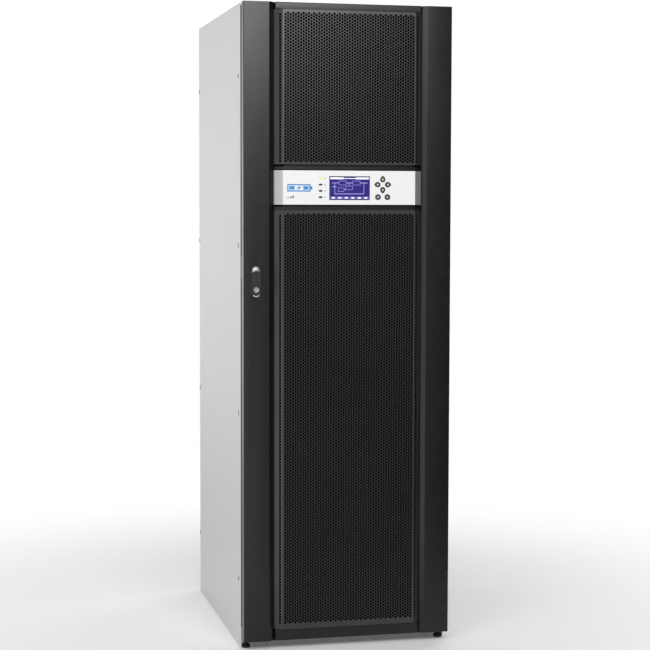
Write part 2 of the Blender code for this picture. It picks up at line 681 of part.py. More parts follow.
def make_pillars():
    left = slab([folded(pillar_path(), DOOR_SHEET, DOOR_BEND)], DOOR_BOTTOM, HEIGHT)
    left = place(left, "door_pillar_left", PAINT_BLACK)
    hole = cylinder((LATCH_X, SPINDLE_Z), SPINDLE_RADIUS + SPINDLE_CLEARANCE, FRONT - TOOL_OVER,
                    FRONT + TOOL_OVER, "Y", 28)
    combine(left, "DIFFERENCE", hole)
    smooth(left)

    path = mirrored(pillar_path())
    right = slab([folded(path, DOOR_SHEET, DOOR_BEND)], DOOR_BOTTOM, HEIGHT)
    right = place(right, "door_pillar_right", PAINT_BLACK, (HINGE_X, HINGE_Y, 0))
    for z in HINGE_HEIGHTS:
        nose = [(HINGE_X + LUG_RADIUS * math.cos(a), HINGE_Y + LUG_RADIUS * math.sin(a))
                for a in (math.radians(step * 15) for step in range(0, 13))]
        root = DOOR_BACK - DOOR_SHEET / 2
        outline = nose + [(HINGE_X - LUG_RADIUS, root), (HINGE_X + LUG_RADIUS, root)]
        bore = ring((HINGE_X, HINGE_Y), PIN_RADIUS + PIN_CLEARANCE, 20)
        combine(right, "UNION", slab([outline, bore], z + FIT * 2, z + FIT * 2 + LUG_HEIGHT))
    smooth(right)


def make_rails():
    end = VALLEY_X - RAIL_END_GAP
    face = FRONT + RAIL_SETBACK
    back = DOOR_BACK - DOOR_SHEET
    for name, low, high in (("door_rail_top", HEIGHT - TOP_RAIL_HEIGHT, HEIGHT),
                            ("door_rail_bottom", DOOR_BOTTOM, DOOR_BOTTOM + BOTTOM_RAIL_HEIGHT)):
        path = [(back, low), (face, low), (face, high), (back, high)]
        mesh = slab([folded(path, DOOR_SHEET, DOOR_BEND)], -end, end, "X")
        smooth(place(mesh, name, PAINT_BLACK))


def middle_section():
    """Plan section shared by the grilles, the trim strips and the control panel."""
    valley = FRONT + VALLEY_DEPTH
    left = [(-FLAT_X, FACE), (-MIDDLE_X, valley), (-MIDDLE_X, valley + MIDDLE_LIP)]
    return folded(mirrored(left) + left, DOOR_SHEET, DOOR_BEND)


def make_middle_panels():
    section = middle_section()
    for name, (low, high) in (("upper_grille", UPPER_GRILLE), ("lower_grille", LOWER_GRILLE),
                              ("upper_trim", UPPER_TRIM), ("lower_trim", LOWER_TRIM)):
        smooth(place(slab([section], low, high), name, PAINT_BLACK))

    inside = FACE + DOOR_SHEET + FIT
    edge = FLAT_X - FILTER_MARGIN
    for name, (low, high) in (("upper_air_filter", UPPER_GRILLE),
                              ("lower_air_filter", LOWER_GRILLE)):
        pad = box((-edge, inside, low + FILTER_MARGIN),
                  (edge, inside + FILTER_THICKNESS, high - FILTER_MARGIN))
        place(pad, name, FOAM)


def button_places():
    pad_z = CONTROL_TOP - PAD_DROP
    pair_z = CONTROL_TOP - PAIR_DROP
    return {
        "button_up": (PAD_X, pad_z + PAD_STEP), "button_down": (PAD_X, pad_z - PAD_STEP),
        "button_left": (PAD_X - PAD_STEP, pad_z), "button_right": (PAD_X + PAD_STEP, pad_z),
        "button_enter": (PAD_X + PAIR_STEP, pair_z), "button_escape": (PAD_X - PAIR_STEP, pair_z),
    }


def make_control_panel():
    panel = place(slab([middle_section()], CONTROL_BOTTOM, CONTROL_TOP), "control_panel", SILVER)
    screen_z = CONTROL_TOP - SCREEN_DROP
    half_w, half_h = SCREEN_WIDTH / 2, SCREEN_HEIGHT / 2
    holes = [rectangle((-half_w - FIT, screen_z - half_h - FIT),
                       (half_w + FIT, screen_z + half_h + FIT))]
    for centre in button_places().values():
        holes.append(ring(centre, BUTTON_RADIUS + BUTTON_CLEARANCE))
    leds = [(LED_X, CONTROL_TOP - LED_DROP - index * LED_PITCH) for index in range(4)]
    for centre in leds:
        holes.append(ring(centre, LED_RADIUS + FIT, 16))
    for outline in holes:
        combine(panel, "DIFFERENCE", slab([outline], FACE - TOOL_OVER / 2, FACE + TRAY_CUT, "Y"))

    window = box((-half_w, FACE + SCREEN_RECESS, screen_z - half_h),
                 (half_w, FACE + SCREEN_RECESS + SCREEN_THICKNESS, screen_z + half_h))
    place(window, "screen_window", SCREEN)

    board = FACE + BUTTON_LENGTH - BUTTON_PROUD + BUTTON_TRAVEL + FIT * 2
    middle = (CONTROL_TOP + CONTROL_BOTTOM) / 2
    place(box((-BOARD_WIDTH / 2, board, middle - BOARD_HEIGHT / 2),
              (BOARD_WIDTH / 2, board + BOARD_THICKNESS, middle + BOARD_HEIGHT / 2)),
          "display_board", PLASTIC_DARK)

    back = FACE + DOOR_SHEET + FIT
    strip = place(box((LED_X - LED_BOARD_HALF, back, leds[-1][1] - LED_BOARD_END),
                      (LED_X + LED_BOARD_HALF, back + LED_BOARD, leds[0][1] + LED_BOARD_END)), "led_strip", SCREEN)
    for centre in leds:
        combine(strip, "UNION",
                cylinder(centre, LED_RADIUS, FACE - LED_PROUD, back + 0.001, "Y", 16))

    for name, centre in button_places().items():
        front = FACE - BUTTON_PROUD
        mesh = cylinder(centre, BUTTON_RADIUS, front, front + BUTTON_LENGTH, "Y", 32)
        button = place(mesh, name, BUTTON, (centre[0], front, centre[1]))
        round_edges(button, BUTTON_EDGE, 1, 60)


def make_latch():
    half_w, half_h = LATCH_WIDTH / 2, LATCH_HEIGHT / 2
    plate = [rectangle((LATCH_X - half_w, LATCH_MIDDLE - half_h),
                       (LATCH_X + half_w, LATCH_MIDDLE + half_h), LATCH_CORNER),
             ring((LATCH_X, SPINDLE_Z), SPINDLE_RADIUS + SPINDLE_CLEARANCE)]
    mesh = slab(plate, FRONT - FIT - LATCH_PLATE, FRONT - FIT, "Y")
    place(mesh, "latch_plate", ZINC)

    centre = (LATCH_X, SPINDLE_Z)
    pivot = (LATCH_X, KNUCKLE_Y, SPINDLE_Z)
    cam_front = DOOR_BACK + CAM_BEHIND
    shaft = cylinder(centre, SPINDLE_RADIUS, KNUCKLE_Y, cam_front + 0.001, "Y", 24)
    spindle = place(shaft, "latch_spindle", ZINC, pivot)

    def knuckle(bm):
        bmesh.ops.create_uvsphere(bm, u_segments=24, v_segments=12, radius=KNUCKLE_RADIUS,
                                  matrix=Matrix.Translation(pivot))
    combine(spindle, "UNION", mesh_from(knuckle))
    reach = HANDLE_WIDTH / 2 - PIN_INSET
    combine(spindle, "UNION",
            cylinder((KNUCKLE_Y, SPINDLE_Z), CROSS_PIN_RADIUS, LATCH_X - reach, LATCH_X + reach,
                     "X", 16))
    cam = rectangle((LATCH_X - CAM_WIDTH / 2, SPINDLE_Z - CAM_LENGTH),
                    (LATCH_X + CAM_WIDTH / 2, SPINDLE_Z + CAM_WIDTH / 2), CAM_CORNER, 3)
    combine(spindle, "UNION", slab([cam], cam_front, cam_front + CAM_THICKNESS, "Y"))

    top = SPINDLE_Z + CHEEK_ABOVE
    slot_floor = SPINDLE_Z - FORK_DEPTH
    slot = KNUCKLE_RADIUS + FORK_GAP
    half_w = HANDLE_WIDTH / 2
    bottom = LATCH_MIDDLE - half_h + HANDLE_ABOVE
    foot = [(LATCH_X + half_w * math.cos(a), bottom + half_w * (1 + math.sin(a)) * 0.6)
            for a in (math.radians(step * 15) for step in range(-12, 1))]
    outline = foot + [(LATCH_X + half_w, top), (LATCH_X + slot, top),
                      (LATCH_X + slot, slot_floor), (LATCH_X - slot, slot_floor),
                      (LATCH_X - slot, top), (LATCH_X - half_w, top)]
    front = FRONT - HANDLE_FRONT
    mesh = slab([outline, ring((LATCH_X, KEY_Z), KEY_RADIUS + KEY_CLEARANCE, 28)],
                front, front + HANDLE_THICKNESS, "Y")
    handle = place(mesh, "latch_handle", PAINT_BLACK, pivot)
    combine(handle, "DIFFERENCE",
            cylinder((KNUCKLE_Y, SPINDLE_Z), CROSS_PIN_RADIUS + FIT, LATCH_X - half_w * 2,
                     LATCH_X + half_w * 2, "X", 16))

    face = FRONT - LATCH_PROUD + 0.0002
    mesh = cylinder((LATCH_X, KEY_Z), KEY_RADIUS, face, face + 0.0085, "Y", 32)
    key = place(mesh, "key_cylinder", ZINC, (LATCH_X, face, KEY_Z))
    combine(key, "DIFFERENCE",
            box((LATCH_X - 0.0008, face - 0.001, KEY_Z - 0.004),
                (LATCH_X + 0.0008, face + 0.003, KEY_Z + 0.004)))


clear_scene()
PARTS = new_collection("battery_backup_cabinet")
CUTTERS = new_collection("cutters")

PAINT_GREY = new_material("light_grey_paint", (0.56, 0.56, 0.55), 0.40)
PAINT_BLACK = new_material("black_paint", (0.03, 0.03, 0.03), 0.42)
PAINT_STRIP = new_material("kick_strip_grey", (0.20, 0.20, 0.20), 0.50)
SILVER = new_material("silver_panel_paint", (0.80, 0.80, 0.82), 0.35)
STEEL = new_material("galvanised_steel", (0.55, 0.56, 0.58), 0.45, 1.0)
ZINC = new_material("zinc_alloy", (0.62, 0.62, 0.64), 0.28, 1.0)
PLASTIC_DARK = new_material("dark_plastic", (0.045, 0.045, 0.05), 0.50)
PLASTIC_GREEN = new_material("green_lever_plastic", (0.05, 0.30, 0.10), 0.40)
RUBBER = new_material("black_foot_rubber", (0.02, 0.02, 0.02), 0.70)
FOAM = new_material("filter_foam", (0.01, 0.01, 0.01), 0.95)
SCREEN = new_material("screen_blue", (0.05, 0.05, 0.28), 0.15)
BUTTON = new_material("button_rubber", (0.25, 0.25, 0.27), 0.50)

make_shell()
make_base()
make_feet()
make_posts()
make_hinges_and_strike()
make_shelves_and_packs()
make_breakers()
make_modules()
make_pillars()
make_rails()
make_middle_panels()
make_control_panel()
make_latch()
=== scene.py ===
import json
import math

import bmesh
import bpy
import numpy as np
from mathutils import Matrix, Vector


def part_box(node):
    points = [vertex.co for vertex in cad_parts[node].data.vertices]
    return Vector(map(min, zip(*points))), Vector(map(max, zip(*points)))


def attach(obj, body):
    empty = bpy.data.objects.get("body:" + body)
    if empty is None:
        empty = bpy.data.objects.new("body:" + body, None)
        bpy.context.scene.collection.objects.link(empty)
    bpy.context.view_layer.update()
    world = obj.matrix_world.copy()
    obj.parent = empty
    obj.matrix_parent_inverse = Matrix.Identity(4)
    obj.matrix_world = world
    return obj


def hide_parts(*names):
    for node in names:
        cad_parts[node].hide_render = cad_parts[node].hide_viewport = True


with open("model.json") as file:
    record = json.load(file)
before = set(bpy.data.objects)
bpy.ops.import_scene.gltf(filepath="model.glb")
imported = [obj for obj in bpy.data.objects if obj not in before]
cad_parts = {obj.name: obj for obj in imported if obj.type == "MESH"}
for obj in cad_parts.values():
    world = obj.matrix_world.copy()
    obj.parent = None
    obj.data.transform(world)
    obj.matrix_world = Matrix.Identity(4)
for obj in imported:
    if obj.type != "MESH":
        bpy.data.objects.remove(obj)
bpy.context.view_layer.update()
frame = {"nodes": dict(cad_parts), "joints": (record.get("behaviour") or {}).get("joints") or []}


def corners(node):
    # A node's lowest and highest corners at rest.
    low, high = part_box(node)
    return np.array(low), np.array(high)


def jointAt(name):
    # A joint's place at rest.
    return next(joint for joint in frame["joints"] if joint["name"] == name)["pos_m"]


doorLow, doorHigh = corners("door_pillar_left")
faceY = doorLow[1]                      # front plane of the door pillars
halfWidth = -doorLow[0]
doorBottom, doorTop = doorLow[2], doorHigh[2]
doorBackY = doorHigh[1]
cabinetBack = corners("rear_panel")[1][1]

# metres and degrees; back is measured from the pillars' front plane, lens and sensor are in millimetres
camera = dict(side=-1.1476, back=4.6792, height=1.2570, yaw=12.999, down=3.982, roll=0.122, lens=94.68,
              sensor=36, reach=60)


def addCamera():
    # The view axis from yaw and pitch; right and up are turned about it by the roll.
    yaw, down, roll = (math.radians(camera[key]) for key in ("yaw", "down", "roll"))
    ahead = Vector((math.sin(yaw) * math.cos(down), math.cos(yaw) * math.cos(down), -math.sin(down)))
    right = Vector((math.cos(yaw), -math.sin(yaw), 0))
    up = right.cross(ahead)
    turnedRight = right * math.cos(roll) + up * math.sin(roll)
    turnedUp = up * math.cos(roll) - right * math.sin(roll)
    data = bpy.data.cameras.new("camera")
    data.lens = camera["lens"]
    data.sensor_width = camera["sensor"]
    data.clip_end = camera["reach"]
    holder = bpy.data.objects.new("camera", data)
    holder.matrix_world = Matrix((
        (turnedRight.x, turnedUp.x, -ahead.x, camera["side"]),
        (turnedRight.y, turnedUp.y, -ahead.y, faceY - camera["back"]),
        (turnedRight.z, turnedUp.z, -ahead.z, camera["height"]), (0, 0, 0, 1)))
    bpy.context.scene.collection.objects.link(holder)
    bpy.context.scene.camera = holder


addCamera()
print("camera set")


class Wire:
    # One output socket; sums on it add Math nodes.

    def __init__(self, paint, socket):
        self.paint, self.socket = paint, socket

    def sum(self, operation, a, b=0.0):
        return self.paint.add("ShaderNodeMath", {"operation": operation}, {0: a, 1: b})

    def __add__(self, other): return self.sum("ADD", self, other)
    def __radd__(self, other): return self.sum("ADD", other, self)
    def __sub__(self, other): return self.sum("SUBTRACT", self, other)
    def __rsub__(self, other): return self.sum("SUBTRACT", other, self)
    def __mul__(self, other): return self.sum("MULTIPLY", self, other)
    def __rmul__(self, other): return self.sum("MULTIPLY", other, self)


class Paint:
    # A material's node tree; add() makes any node in it.

    def __init__(self, name, **constants):
        self.material = bpy.data.materials.new(name)
        self.material.use_nodes = True
        self.tree = self.material.node_tree
        self.shader = self.tree.nodes["Principled BSDF"]
        for socket, value in constants.items():
            self.put(self.shader.inputs[socket.replace("_", " ")], value)
        self.place = self.add("ShaderNodeTexCoord", output="Object")

    def put(self, socket, value):
        if isinstance(value, Wire):
            self.tree.links.new(value.socket, socket)
        elif isinstance(value, tuple) and len(value) == 3 and socket.type == "RGBA":
            socket.default_value = (*value, 1.0)
        else:
            socket.default_value = value

    def add(self, kind, settings=None, inputs=None, output=0):
        node = self.tree.nodes.new(kind)
        for key, value in (settings or {}).items():
            if key == "stops":
                ramp = node.color_ramp
                while len(ramp.elements) < len(value):
                    ramp.elements.new(1.0)
                for element, (at, colour) in zip(ramp.elements, value):
                    element.position = at
                    element.color = (colour, colour, colour, 1.0)
            else:
                setattr(node, key, value)
        for key, value in (inputs or {}).items():
            self.put(node.inputs[key], value)
        return Wire(self, node.outputs[output])

    def scaled(self, scale):
        return self.add("ShaderNodeMapping", inputs={"Vector": self.place, "Scale": scale})

    def noise(self, scale, detail=2.0, roughness=0.5, vector=None):
        inputs = {"Vector": vector or self.place, "Scale": scale, "Detail": detail, "Roughness": roughness}
        return self.add("ShaderNodeTexNoise", inputs=inputs)

    def cells(self, scale, feature="F1", output="Distance"):
        return self.add("ShaderNodeTexVoronoi", {"feature": feature},
                        {"Vector": self.place, "Scale": scale}, output)

    def ramp(self, value, *stops):
        return self.add("ShaderNodeValToRGB", {"stops": stops}, {"Fac": value})

    def mix(self, a, b, factor):
        node = self.tree.nodes.new("ShaderNodeMix")
        node.data_type = "RGBA"
        for index, value in ((0, factor), (6, a), (7, b)):
            self.put(node.inputs[index], value)
        return Wire(self, node.outputs[2])

    def finish(self, colour, roughness=None, height=None, depth=0.0):
        for socket, value in (("Base Color", colour), ("Roughness", roughness)):
            if value is not None:
                self.put(self.shader.inputs[socket], value)
        if height is not None:
            bump = self.add("ShaderNodeBump", inputs={"Height": height, "Distance": depth})
            self.put(self.shader.inputs["Normal"], bump)
        return self.material


def changed(colour, factor=1.0, lift=0.0):
    # A colour times a factor, plus a lift, held at white.
    return tuple(min(1.0, c * factor + lift) for c in colour)


# pattern scales, per metre
coat = dict(tone=3.5, dust=38.0, speck=950.0, peelFine=620.0, peelWide=120.0, dustLift=0.05, speckLift=0.10)
zincLook = dict(patch=140.0, roll=9.0, fine=300.0, stretch=14.0, depth=0.00005)
castLook = dict(tone=55.0, pit=520.0, pitDark=0.72)
mouldLook = dict(tone=7.0, scuff=46.0, dark=0.78, pale=1.18, scuffed=1.5)
# foam tones darker than real foam: partly its own black, partly painted shade behind the holes and gaps
foamLook = dict(pore=420.0, wall=0.09, dark=(0.0008, 0.0008, 0.0008), pale=(0.0060, 0.0060, 0.0065),
                depth=0.0008)


def powderCoat(name, colour, shade, roughness, peel=0.00006, dusty=1.0, **constants):
    # Sprayed paint: slow changes of tone, a fine orange peel, faint dust and tiny bright specks.
    paint = Paint(name, **constants)
    slow = paint.noise(coat["tone"], 4.0, 0.55)
    dust = paint.ramp(paint.noise(coat["dust"], 5.0, 0.62), (0.46, 0.0), (0.80, 1.0))
    speck = paint.ramp(paint.cells(coat["speck"]), (0.0, 1.0), (0.16, 0.0))
    base = paint.mix(changed(colour, 1 - shade), changed(colour, 1 + shade), slow)
    base = paint.mix(base, changed(colour, 1, coat["dustLift"] * dusty), dust * 0.22)
    base = paint.mix(base, changed(colour, 1, coat["speckLift"] * dusty), speck * 0.30)
    gloss = slow * 0.08 + dust * 0.05 + (roughness - 0.05)
    height = paint.noise(coat["peelFine"]) * 0.7 + paint.noise(coat["peelWide"]) * 0.5
    return paint.finish(base, gloss, height, peel)


def sheetZinc(name, tone):
    # Hot-dip zinc: crystal patches of differing tone with faint rolling marks.
    paint = Paint(name, Metallic=0.85)
    patch = paint.cells(zincLook["patch"], output="Color")
    grain = paint.noise(zincLook["roll"], 3.0, 0.5, paint.scaled((1.0, 1.0, zincLook["stretch"])))
    red = paint.add("ShaderNodeSeparateColor", inputs={"Color": patch})
    grey = paint.ramp(red, (0.0, tone * 0.75), (1.0, tone * 1.2))
    base = paint.mix(grey, (tone, tone, tone * 1.03), grain * 0.5)
    height = grain * 0.5 + paint.noise(zincLook["fine"]) * 0.3
    return paint.finish(base, grain * 0.15 + 0.32, height, zincLook["depth"])


def castMetal(name, colour, roughness, depth=0.00004):
    # Satin plated casting: fine grain, slightly uneven gloss, darker in fine pits.
    paint = Paint(name, Metallic=1.0)
    slow = paint.noise(castLook["tone"], 4.0, 0.6)
    pits = paint.ramp(paint.noise(castLook["pit"], 3.0, 0.6), (0.30, 0.0), (0.48, 1.0))
    base = paint.mix(changed(colour, castLook["pitDark"]), colour, pits * 0.6 + slow * 0.4)
    return paint.finish(base, slow * 0.12 + (roughness - 0.05), pits, depth)


def moulded(name, colour, roughness, grain=260.0, depth=0.00008):
    # Moulded plastic: spark-eroded grain, small change of tone, scuffs that shine.
    paint = Paint(name)
    texture = paint.noise(grain, 3.0, 0.6)
    slow = paint.noise(mouldLook["tone"], 4.0, 0.6)
    streak = paint.noise(mouldLook["scuff"], 5.0, 0.7, paint.scaled((1.0, 1.0, 0.25)))
    scuff = paint.ramp(streak, (0.60, 0.0), (0.82, 1.0))
    base = paint.mix(changed(colour, mouldLook["dark"]), changed(colour, mouldLook["pale"], 0.004), slow)
    base = paint.mix(base, changed(colour, mouldLook["scuffed"], 0.02), scuff * 0.35)
    return paint.finish(base, roughness - scuff * 0.12 + texture * 0.06, texture, depth)


def openFoam(name):
    # Open-cell filter foam: dark pores in a slightly lighter web, both near black and darker than foam is:
    # partly the foam's own black, partly painted shade seen through the holes and gaps in front of it.
    paint = Paint(name, Roughness=0.95, Specular_IOR_Level=0.08)
    pores = paint.cells(foamLook["pore"], "DISTANCE_TO_EDGE")
    web = paint.ramp(pores, (0.0, 1.0), (foamLook["wall"], 0.0))
    base = paint.mix(foamLook["dark"], foamLook["pale"], web)
    return paint.finish(base, None, web, foamLook["depth"])


def lit(name, colour, strength, roughness=0.35):
    # A lamp or a lit mark on the display: coloured plastic that glows, a little unevenly.
    paint = Paint(name, Roughness=roughness, Emission_Strength=strength)
    slow = paint.noise(160.0, 2.0, 0.5)
    tone = paint.mix(changed(colour, 0.85), colour, slow)
    paint.put(paint.shader.inputs["Emission Color"], tone)
    return paint.finish(tone)


display = dict(glow=0.66, across=0.35, upward=0.25, rows=210.0, corner=(0.020, 0.014, 0.12),
               middle=(0.036, 0.026, 0.21), patch=(0.055, 0.042, 0.30), row=(0.018, 0.014, 0.11),
               unlit=(0.004, 0.003, 0.02))


def displayGlass(name):
    # The display behind its window: deep blue, lighter towards the middle, with fine rows.
    low, high = corners("screen_window")
    middle = (low + high) / 2
    paint = Paint(name, Roughness=0.12, Emission_Strength=display["glow"])
    parts = paint.add("ShaderNodeSeparateXYZ", inputs={"Vector": paint.place})
    across = (parts - float(middle[0])) * (2.0 / float(high[0] - low[0]))
    height = Wire(paint, parts.socket.node.outputs["Z"])
    upward = (height - float(middle[2])) * (2.0 / float(high[2] - low[2]))
    vignette = 1.0 - (across * across * display["across"] + upward * upward * display["upward"])
    rows = paint.add("ShaderNodeTexWave", {"bands_direction": "Z"},
                     {"Vector": paint.place, "Scale": display["rows"]})
    glow = paint.mix(display["corner"], display["middle"], vignette)
    glow = paint.mix(glow, display["patch"], paint.noise(35.0, 3.0) * 0.35)
    glow = paint.mix(glow, display["row"], rows * 0.25)
    paint.put(paint.shader.inputs["Emission Color"], glow)
    return paint.finish(paint.mix(glow, display["unlit"], 0.6))


# colours as linear red, green, blue; for paint then the change of tone, roughness, peel depth and dust
greyPaint = powderCoat("grey_paint", (0.60, 0.60, 0.585), 0.03, 0.36)
# the top cover's grey is the sides' grey set a little darker and duller: the darker tone is painted shade
# that keeps the top from looking too bright
shadedTopPaint = powderCoat("grey_top_paint", (0.56, 0.56, 0.546), 0.03, 0.68, Specular_IOR_Level=0.12)
blackPaint = powderCoat("black_paint", (0.0060, 0.0058, 0.0056), 0.20, 0.30, dusty=0.12,
                        Specular_IOR_Level=0.42)
stripPaint = powderCoat("strip_paint", (0.30, 0.30, 0.295), 0.08, 0.50)
# the grilles' mesh is the pillars' black paint made about five times lighter: a painted highlight for the
# sheen on its webs
meshSheenPaint = powderCoat("mesh_paint", (0.0290, 0.0279, 0.0271), 0.20, 0.30, 0.00003, 0.12)
silverPaint = powderCoat("silver_paint", (0.50, 0.50, 0.49), 0.03, 0.36, 0.00003, Metallic=0.55)
filmPale = powderCoat("film_pale", (0.75, 0.75, 0.76), 0.006, 0.42, 0.00002)
zincSheet = sheetZinc("zinc_sheet", 0.55)
zincCast = castMetal("zinc_cast", (0.72, 0.72, 0.73), 0.26)
zincSatin = castMetal("zinc_satin", (0.42, 0.42, 0.43), 0.44)
darkSteel = castMetal("dark_steel", (0.16, 0.16, 0.165), 0.34)
copper = castMetal("copper_bar", (0.72, 0.36, 0.20), 0.30)
blackGloss = moulded("black_gloss", (0.016, 0.016, 0.017), 0.24, 500.0, 0.00002)
blackPlastic = moulded("black_plastic", (0.022, 0.022, 0.024), 0.42)
casePlastic = moulded("case_plastic", (0.055, 0.057, 0.062), 0.52, 190.0, 0.00012)
packPlastic = moulded("pack_plastic", (0.16, 0.17, 0.18), 0.50, 190.0, 0.00012)
redPlastic = moulded("red_plastic", (0.42, 0.022, 0.018), 0.40)
greenPlastic = moulded("green_plastic", (0.03, 0.20, 0.07), 0.40)
keyRubber = moulded("key_rubber", (0.028, 0.029, 0.031), 0.55, 400.0)
capPlastic = moulded("cap_plastic", (0.62, 0.62, 0.64), 0.42, 400.0)
footRubber = moulded("foot_rubber", (0.012, 0.012, 0.013), 0.75, 160.0, 0.0002)
filterFoam = openFoam("filter_foam")
markBlue = moulded("mark_blue", (0.025, 0.22, 0.52), 0.35, 500.0, 0.00002)
markGrey = moulded("mark_grey", (0.20, 0.20, 0.21), 0.45, 500.0, 0.00002)
screenBlue = displayGlass("screen_blue")
pixelPale = lit("pixel_pale", (0.36, 0.34, 0.72), 0.45)
pixelWhite = lit("pixel_white", (0.80, 0.80, 0.95), 0.5)
pixelDim = lit("pixel_dim", (0.16, 0.14, 0.42), 0.4)
lampGreen = lit("lamp_green", (0.52, 0.62, 0.10), 0.6)
lampDark = moulded("lamp_dark", (0.045, 0.035, 0.03), 0.25, 500.0, 0.00002)
paperPale = moulded("paper_pale", (0.55, 0.55, 0.50), 0.70, 300.0, 0.00002)
print("materials made")


making = dict(merge=0.000004, thin=0.000001, sharpAbove=35, bevelAbove=40)      # metres and degrees


def smoothed(mesh):
    mesh.shade_smooth()
    mesh.set_sharp_from_angle(angle=math.radians(making["sharpAbove"]))


def putPiece(name, points, faces, material, body, stands=(), slot=None, bevel=0.0, segments=2):
    # Makes a mesh piece from points (n,3) and a list of face index arrays, merged, facing out.
    mesh = bpy.data.meshes.new(name)
    counts = np.concatenate([np.full(len(block), block.shape[1]) for block in faces])
    loops = np.concatenate([np.asarray(block).ravel() for block in faces]).astype(np.int32)
    mesh.vertices.add(len(points))
    mesh.vertices.foreach_set("co", np.asarray(points, dtype=np.float32).ravel())
    mesh.loops.add(len(loops))
    mesh.loops.foreach_set("vertex_index", loops)
    mesh.polygons.add(len(counts))
    starts = np.concatenate([[0], np.cumsum(counts)[:-1]]).astype(np.int32)
    mesh.polygons.foreach_set("loop_start", starts)
    mesh.polygons.foreach_set("loop_total", counts.astype(np.int32))
    mesh.update(calc_edges=True)
    bm = bmesh.new()
    bm.from_mesh(mesh)
    bmesh.ops.remove_doubles(bm, verts=bm.verts, dist=making["merge"])
    bmesh.ops.dissolve_degenerate(bm, edges=bm.edges, dist=making["thin"])
    bmesh.ops.recalc_face_normals(bm, faces=bm.faces)
    bm.to_mesh(mesh)
    bm.free()
    mesh.materials.append(material)
    smoothed(mesh)
    piece = bpy.data.objects.new(name, mesh)
    bpy.context.scene.collection.objects.link(piece)
    if bevel:
        edge = piece.modifiers.new("edge", "BEVEL")
        edge.width = bevel
        edge.segments = segments
        edge.limit_method = "ANGLE"
        edge.angle_limit = math.radians(making["bevelAbove"])
    if body:
        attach(piece, body)
    if stands:
        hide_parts(*stands)
    return piece


def joined(*shapes):
    # Several (points, faces) shapes as one: later face indices are moved up by the points before them.
    points, faces, base = [], [], 0
    for shapePoints, shapeFaces in shapes:
        points.append(shapePoints)
        faces.extend(block + base for block in shapeFaces)
        base += len(shapePoints)
    return np.concatenate(points), faces


def rounded(path, radius, steps=8):
    # An open path with each corner replaced by an arc that touches both its sides.
    path = [np.array(p, dtype=float) for p in path]
    out = [path[0][None]]
    for before, corner, after in zip(path, path[1:], path[2:]):
        back = (before - corner) / np.linalg.norm(before - corner)
        ahead = (after - corner) / np.linalg.norm(after - corner)
        half = math.acos(np.clip(back @ ahead, -1, 1)) / 2
        centre = corner + (back + ahead) / np.linalg.norm(back + ahead) * radius / math.sin(half)
        start = corner + back * radius / math.tan(half) - centre
        end = corner + ahead * radius / math.tan(half) - centre
        sweep = math.atan2(start[0] * end[1] - start[1] * end[0], start @ end)
        turn = np.linspace(0, sweep, steps + 1)
        out.append(centre + np.stack([start[0] * np.cos(turn) - start[1] * np.sin(turn),
                                      start[0] * np.sin(turn) + start[1] * np.cos(turn)], 1))
    out.append(path[-1][None])
    return np.concatenate(out)


def rightSide(path):
    # Unit vectors to the right of a path, each the mean of the runs before and after its point.
    runs = np.diff(path, axis=0)
    runs /= np.linalg.norm(runs, axis=1)[:, None]
    before = np.concatenate([runs[:1], runs])
    after = np.concatenate([runs, runs[-1:]])
    mean = (before + after) / 2
    side = np.stack([mean[:, 1], -mean[:, 0]], 1)
    return side / (side ** 2).sum(1)[:, None]


def alongAxis(flat, height, axis):
    # Points (u, v) at a height along an axis, as x, y, z.
    u, v = flat[..., 0], flat[..., 1]
    w = np.broadcast_to(height, u.shape)
    order = {"X": (w, u, v), "Y": (u, w, v), "Z": (u, v, w)}[axis]
    return np.stack(order, -1)


def bentSheet(path, radius, thickness, low, high, axis="Z", steps=8):
    # A folded strip of sheet: an arc-cornered path, offset by its thickness and drawn out along an axis.
    outer = rounded(path, radius, steps)
    inner = outer + rightSide(outer) * thickness
    count = len(outer)
    ends = [alongAxis(line, at, axis) for at in (low, high) for line in (outer, inner)]
    points = np.concatenate(ends)
    i = np.arange(count - 1)
    grid = lambda a, b: np.stack([a * count + i, a * count + i + 1, b * count + i + 1, b * count + i], 1)
    last = count - 1
    rims = np.array([[0, count, 3 * count, 2 * count],
                     [last, last + count, last + 3 * count, last + 2 * count]])
    return points, [grid(0, 2), grid(1, 3), grid(0, 1), grid(2, 3), rims]


def plate(outline, low, high, axis="Y"):
    # A flat solid: a closed outline drawn out along an axis, with both ends filled.
    outline = np.asarray(outline, dtype=float)
    count = len(outline)
    points = np.concatenate([alongAxis(outline, low, axis), alongAxis(outline, high, axis)])
    i = np.arange(count)
    j = (i + 1) % count
    walls = np.stack([i, j, j + count, i + count], 1)
    return points, [walls, i[None, ::-1], (i + count)[None]]


def blocks(boxes):
    # Many plain blocks at once, each given by its low and high corner.
    boxes = np.asarray(boxes, dtype=float).reshape(-1, 2, 3)
    pick = np.array([[i, j, k] for i in (0, 1) for j in (0, 1) for k in (0, 1)])
    points = boxes[:, pick, np.arange(3)[None, :]].reshape(-1, 3)
    sides = np.array([[0, 1, 3, 2], [4, 6, 7, 5], [0, 4, 5, 1], [2, 3, 7, 6], [0, 2, 6, 4], [1, 5, 7, 3]])
    faces = (np.arange(len(boxes))[:, None, None] * 8 + sides).reshape(-1, 4)
    return points, [faces]


def turned(profile, centre, axis="Y", steps=32):
    # A lathe shape: radius and height pairs, swept round an axis through centre.
    profile = np.asarray(profile, dtype=float)
    angle = np.linspace(0, math.tau, steps, endpoint=False)
    ring = np.stack([np.cos(angle), np.sin(angle)], 1)
    flat = profile[:, None, :1] * ring[None]
    points = alongAxis(flat, profile[:, 1][:, None], axis).reshape(-1, 3) + np.asarray(centre)
    row = np.arange(len(profile) - 1)[:, None] * steps
    i = np.arange(steps)[None]
    j = (i + 1) % steps
    faces = np.stack([row + i, row + j, row + steps + j, row + steps + i], -1).reshape(-1, 4)
    return points, [faces]


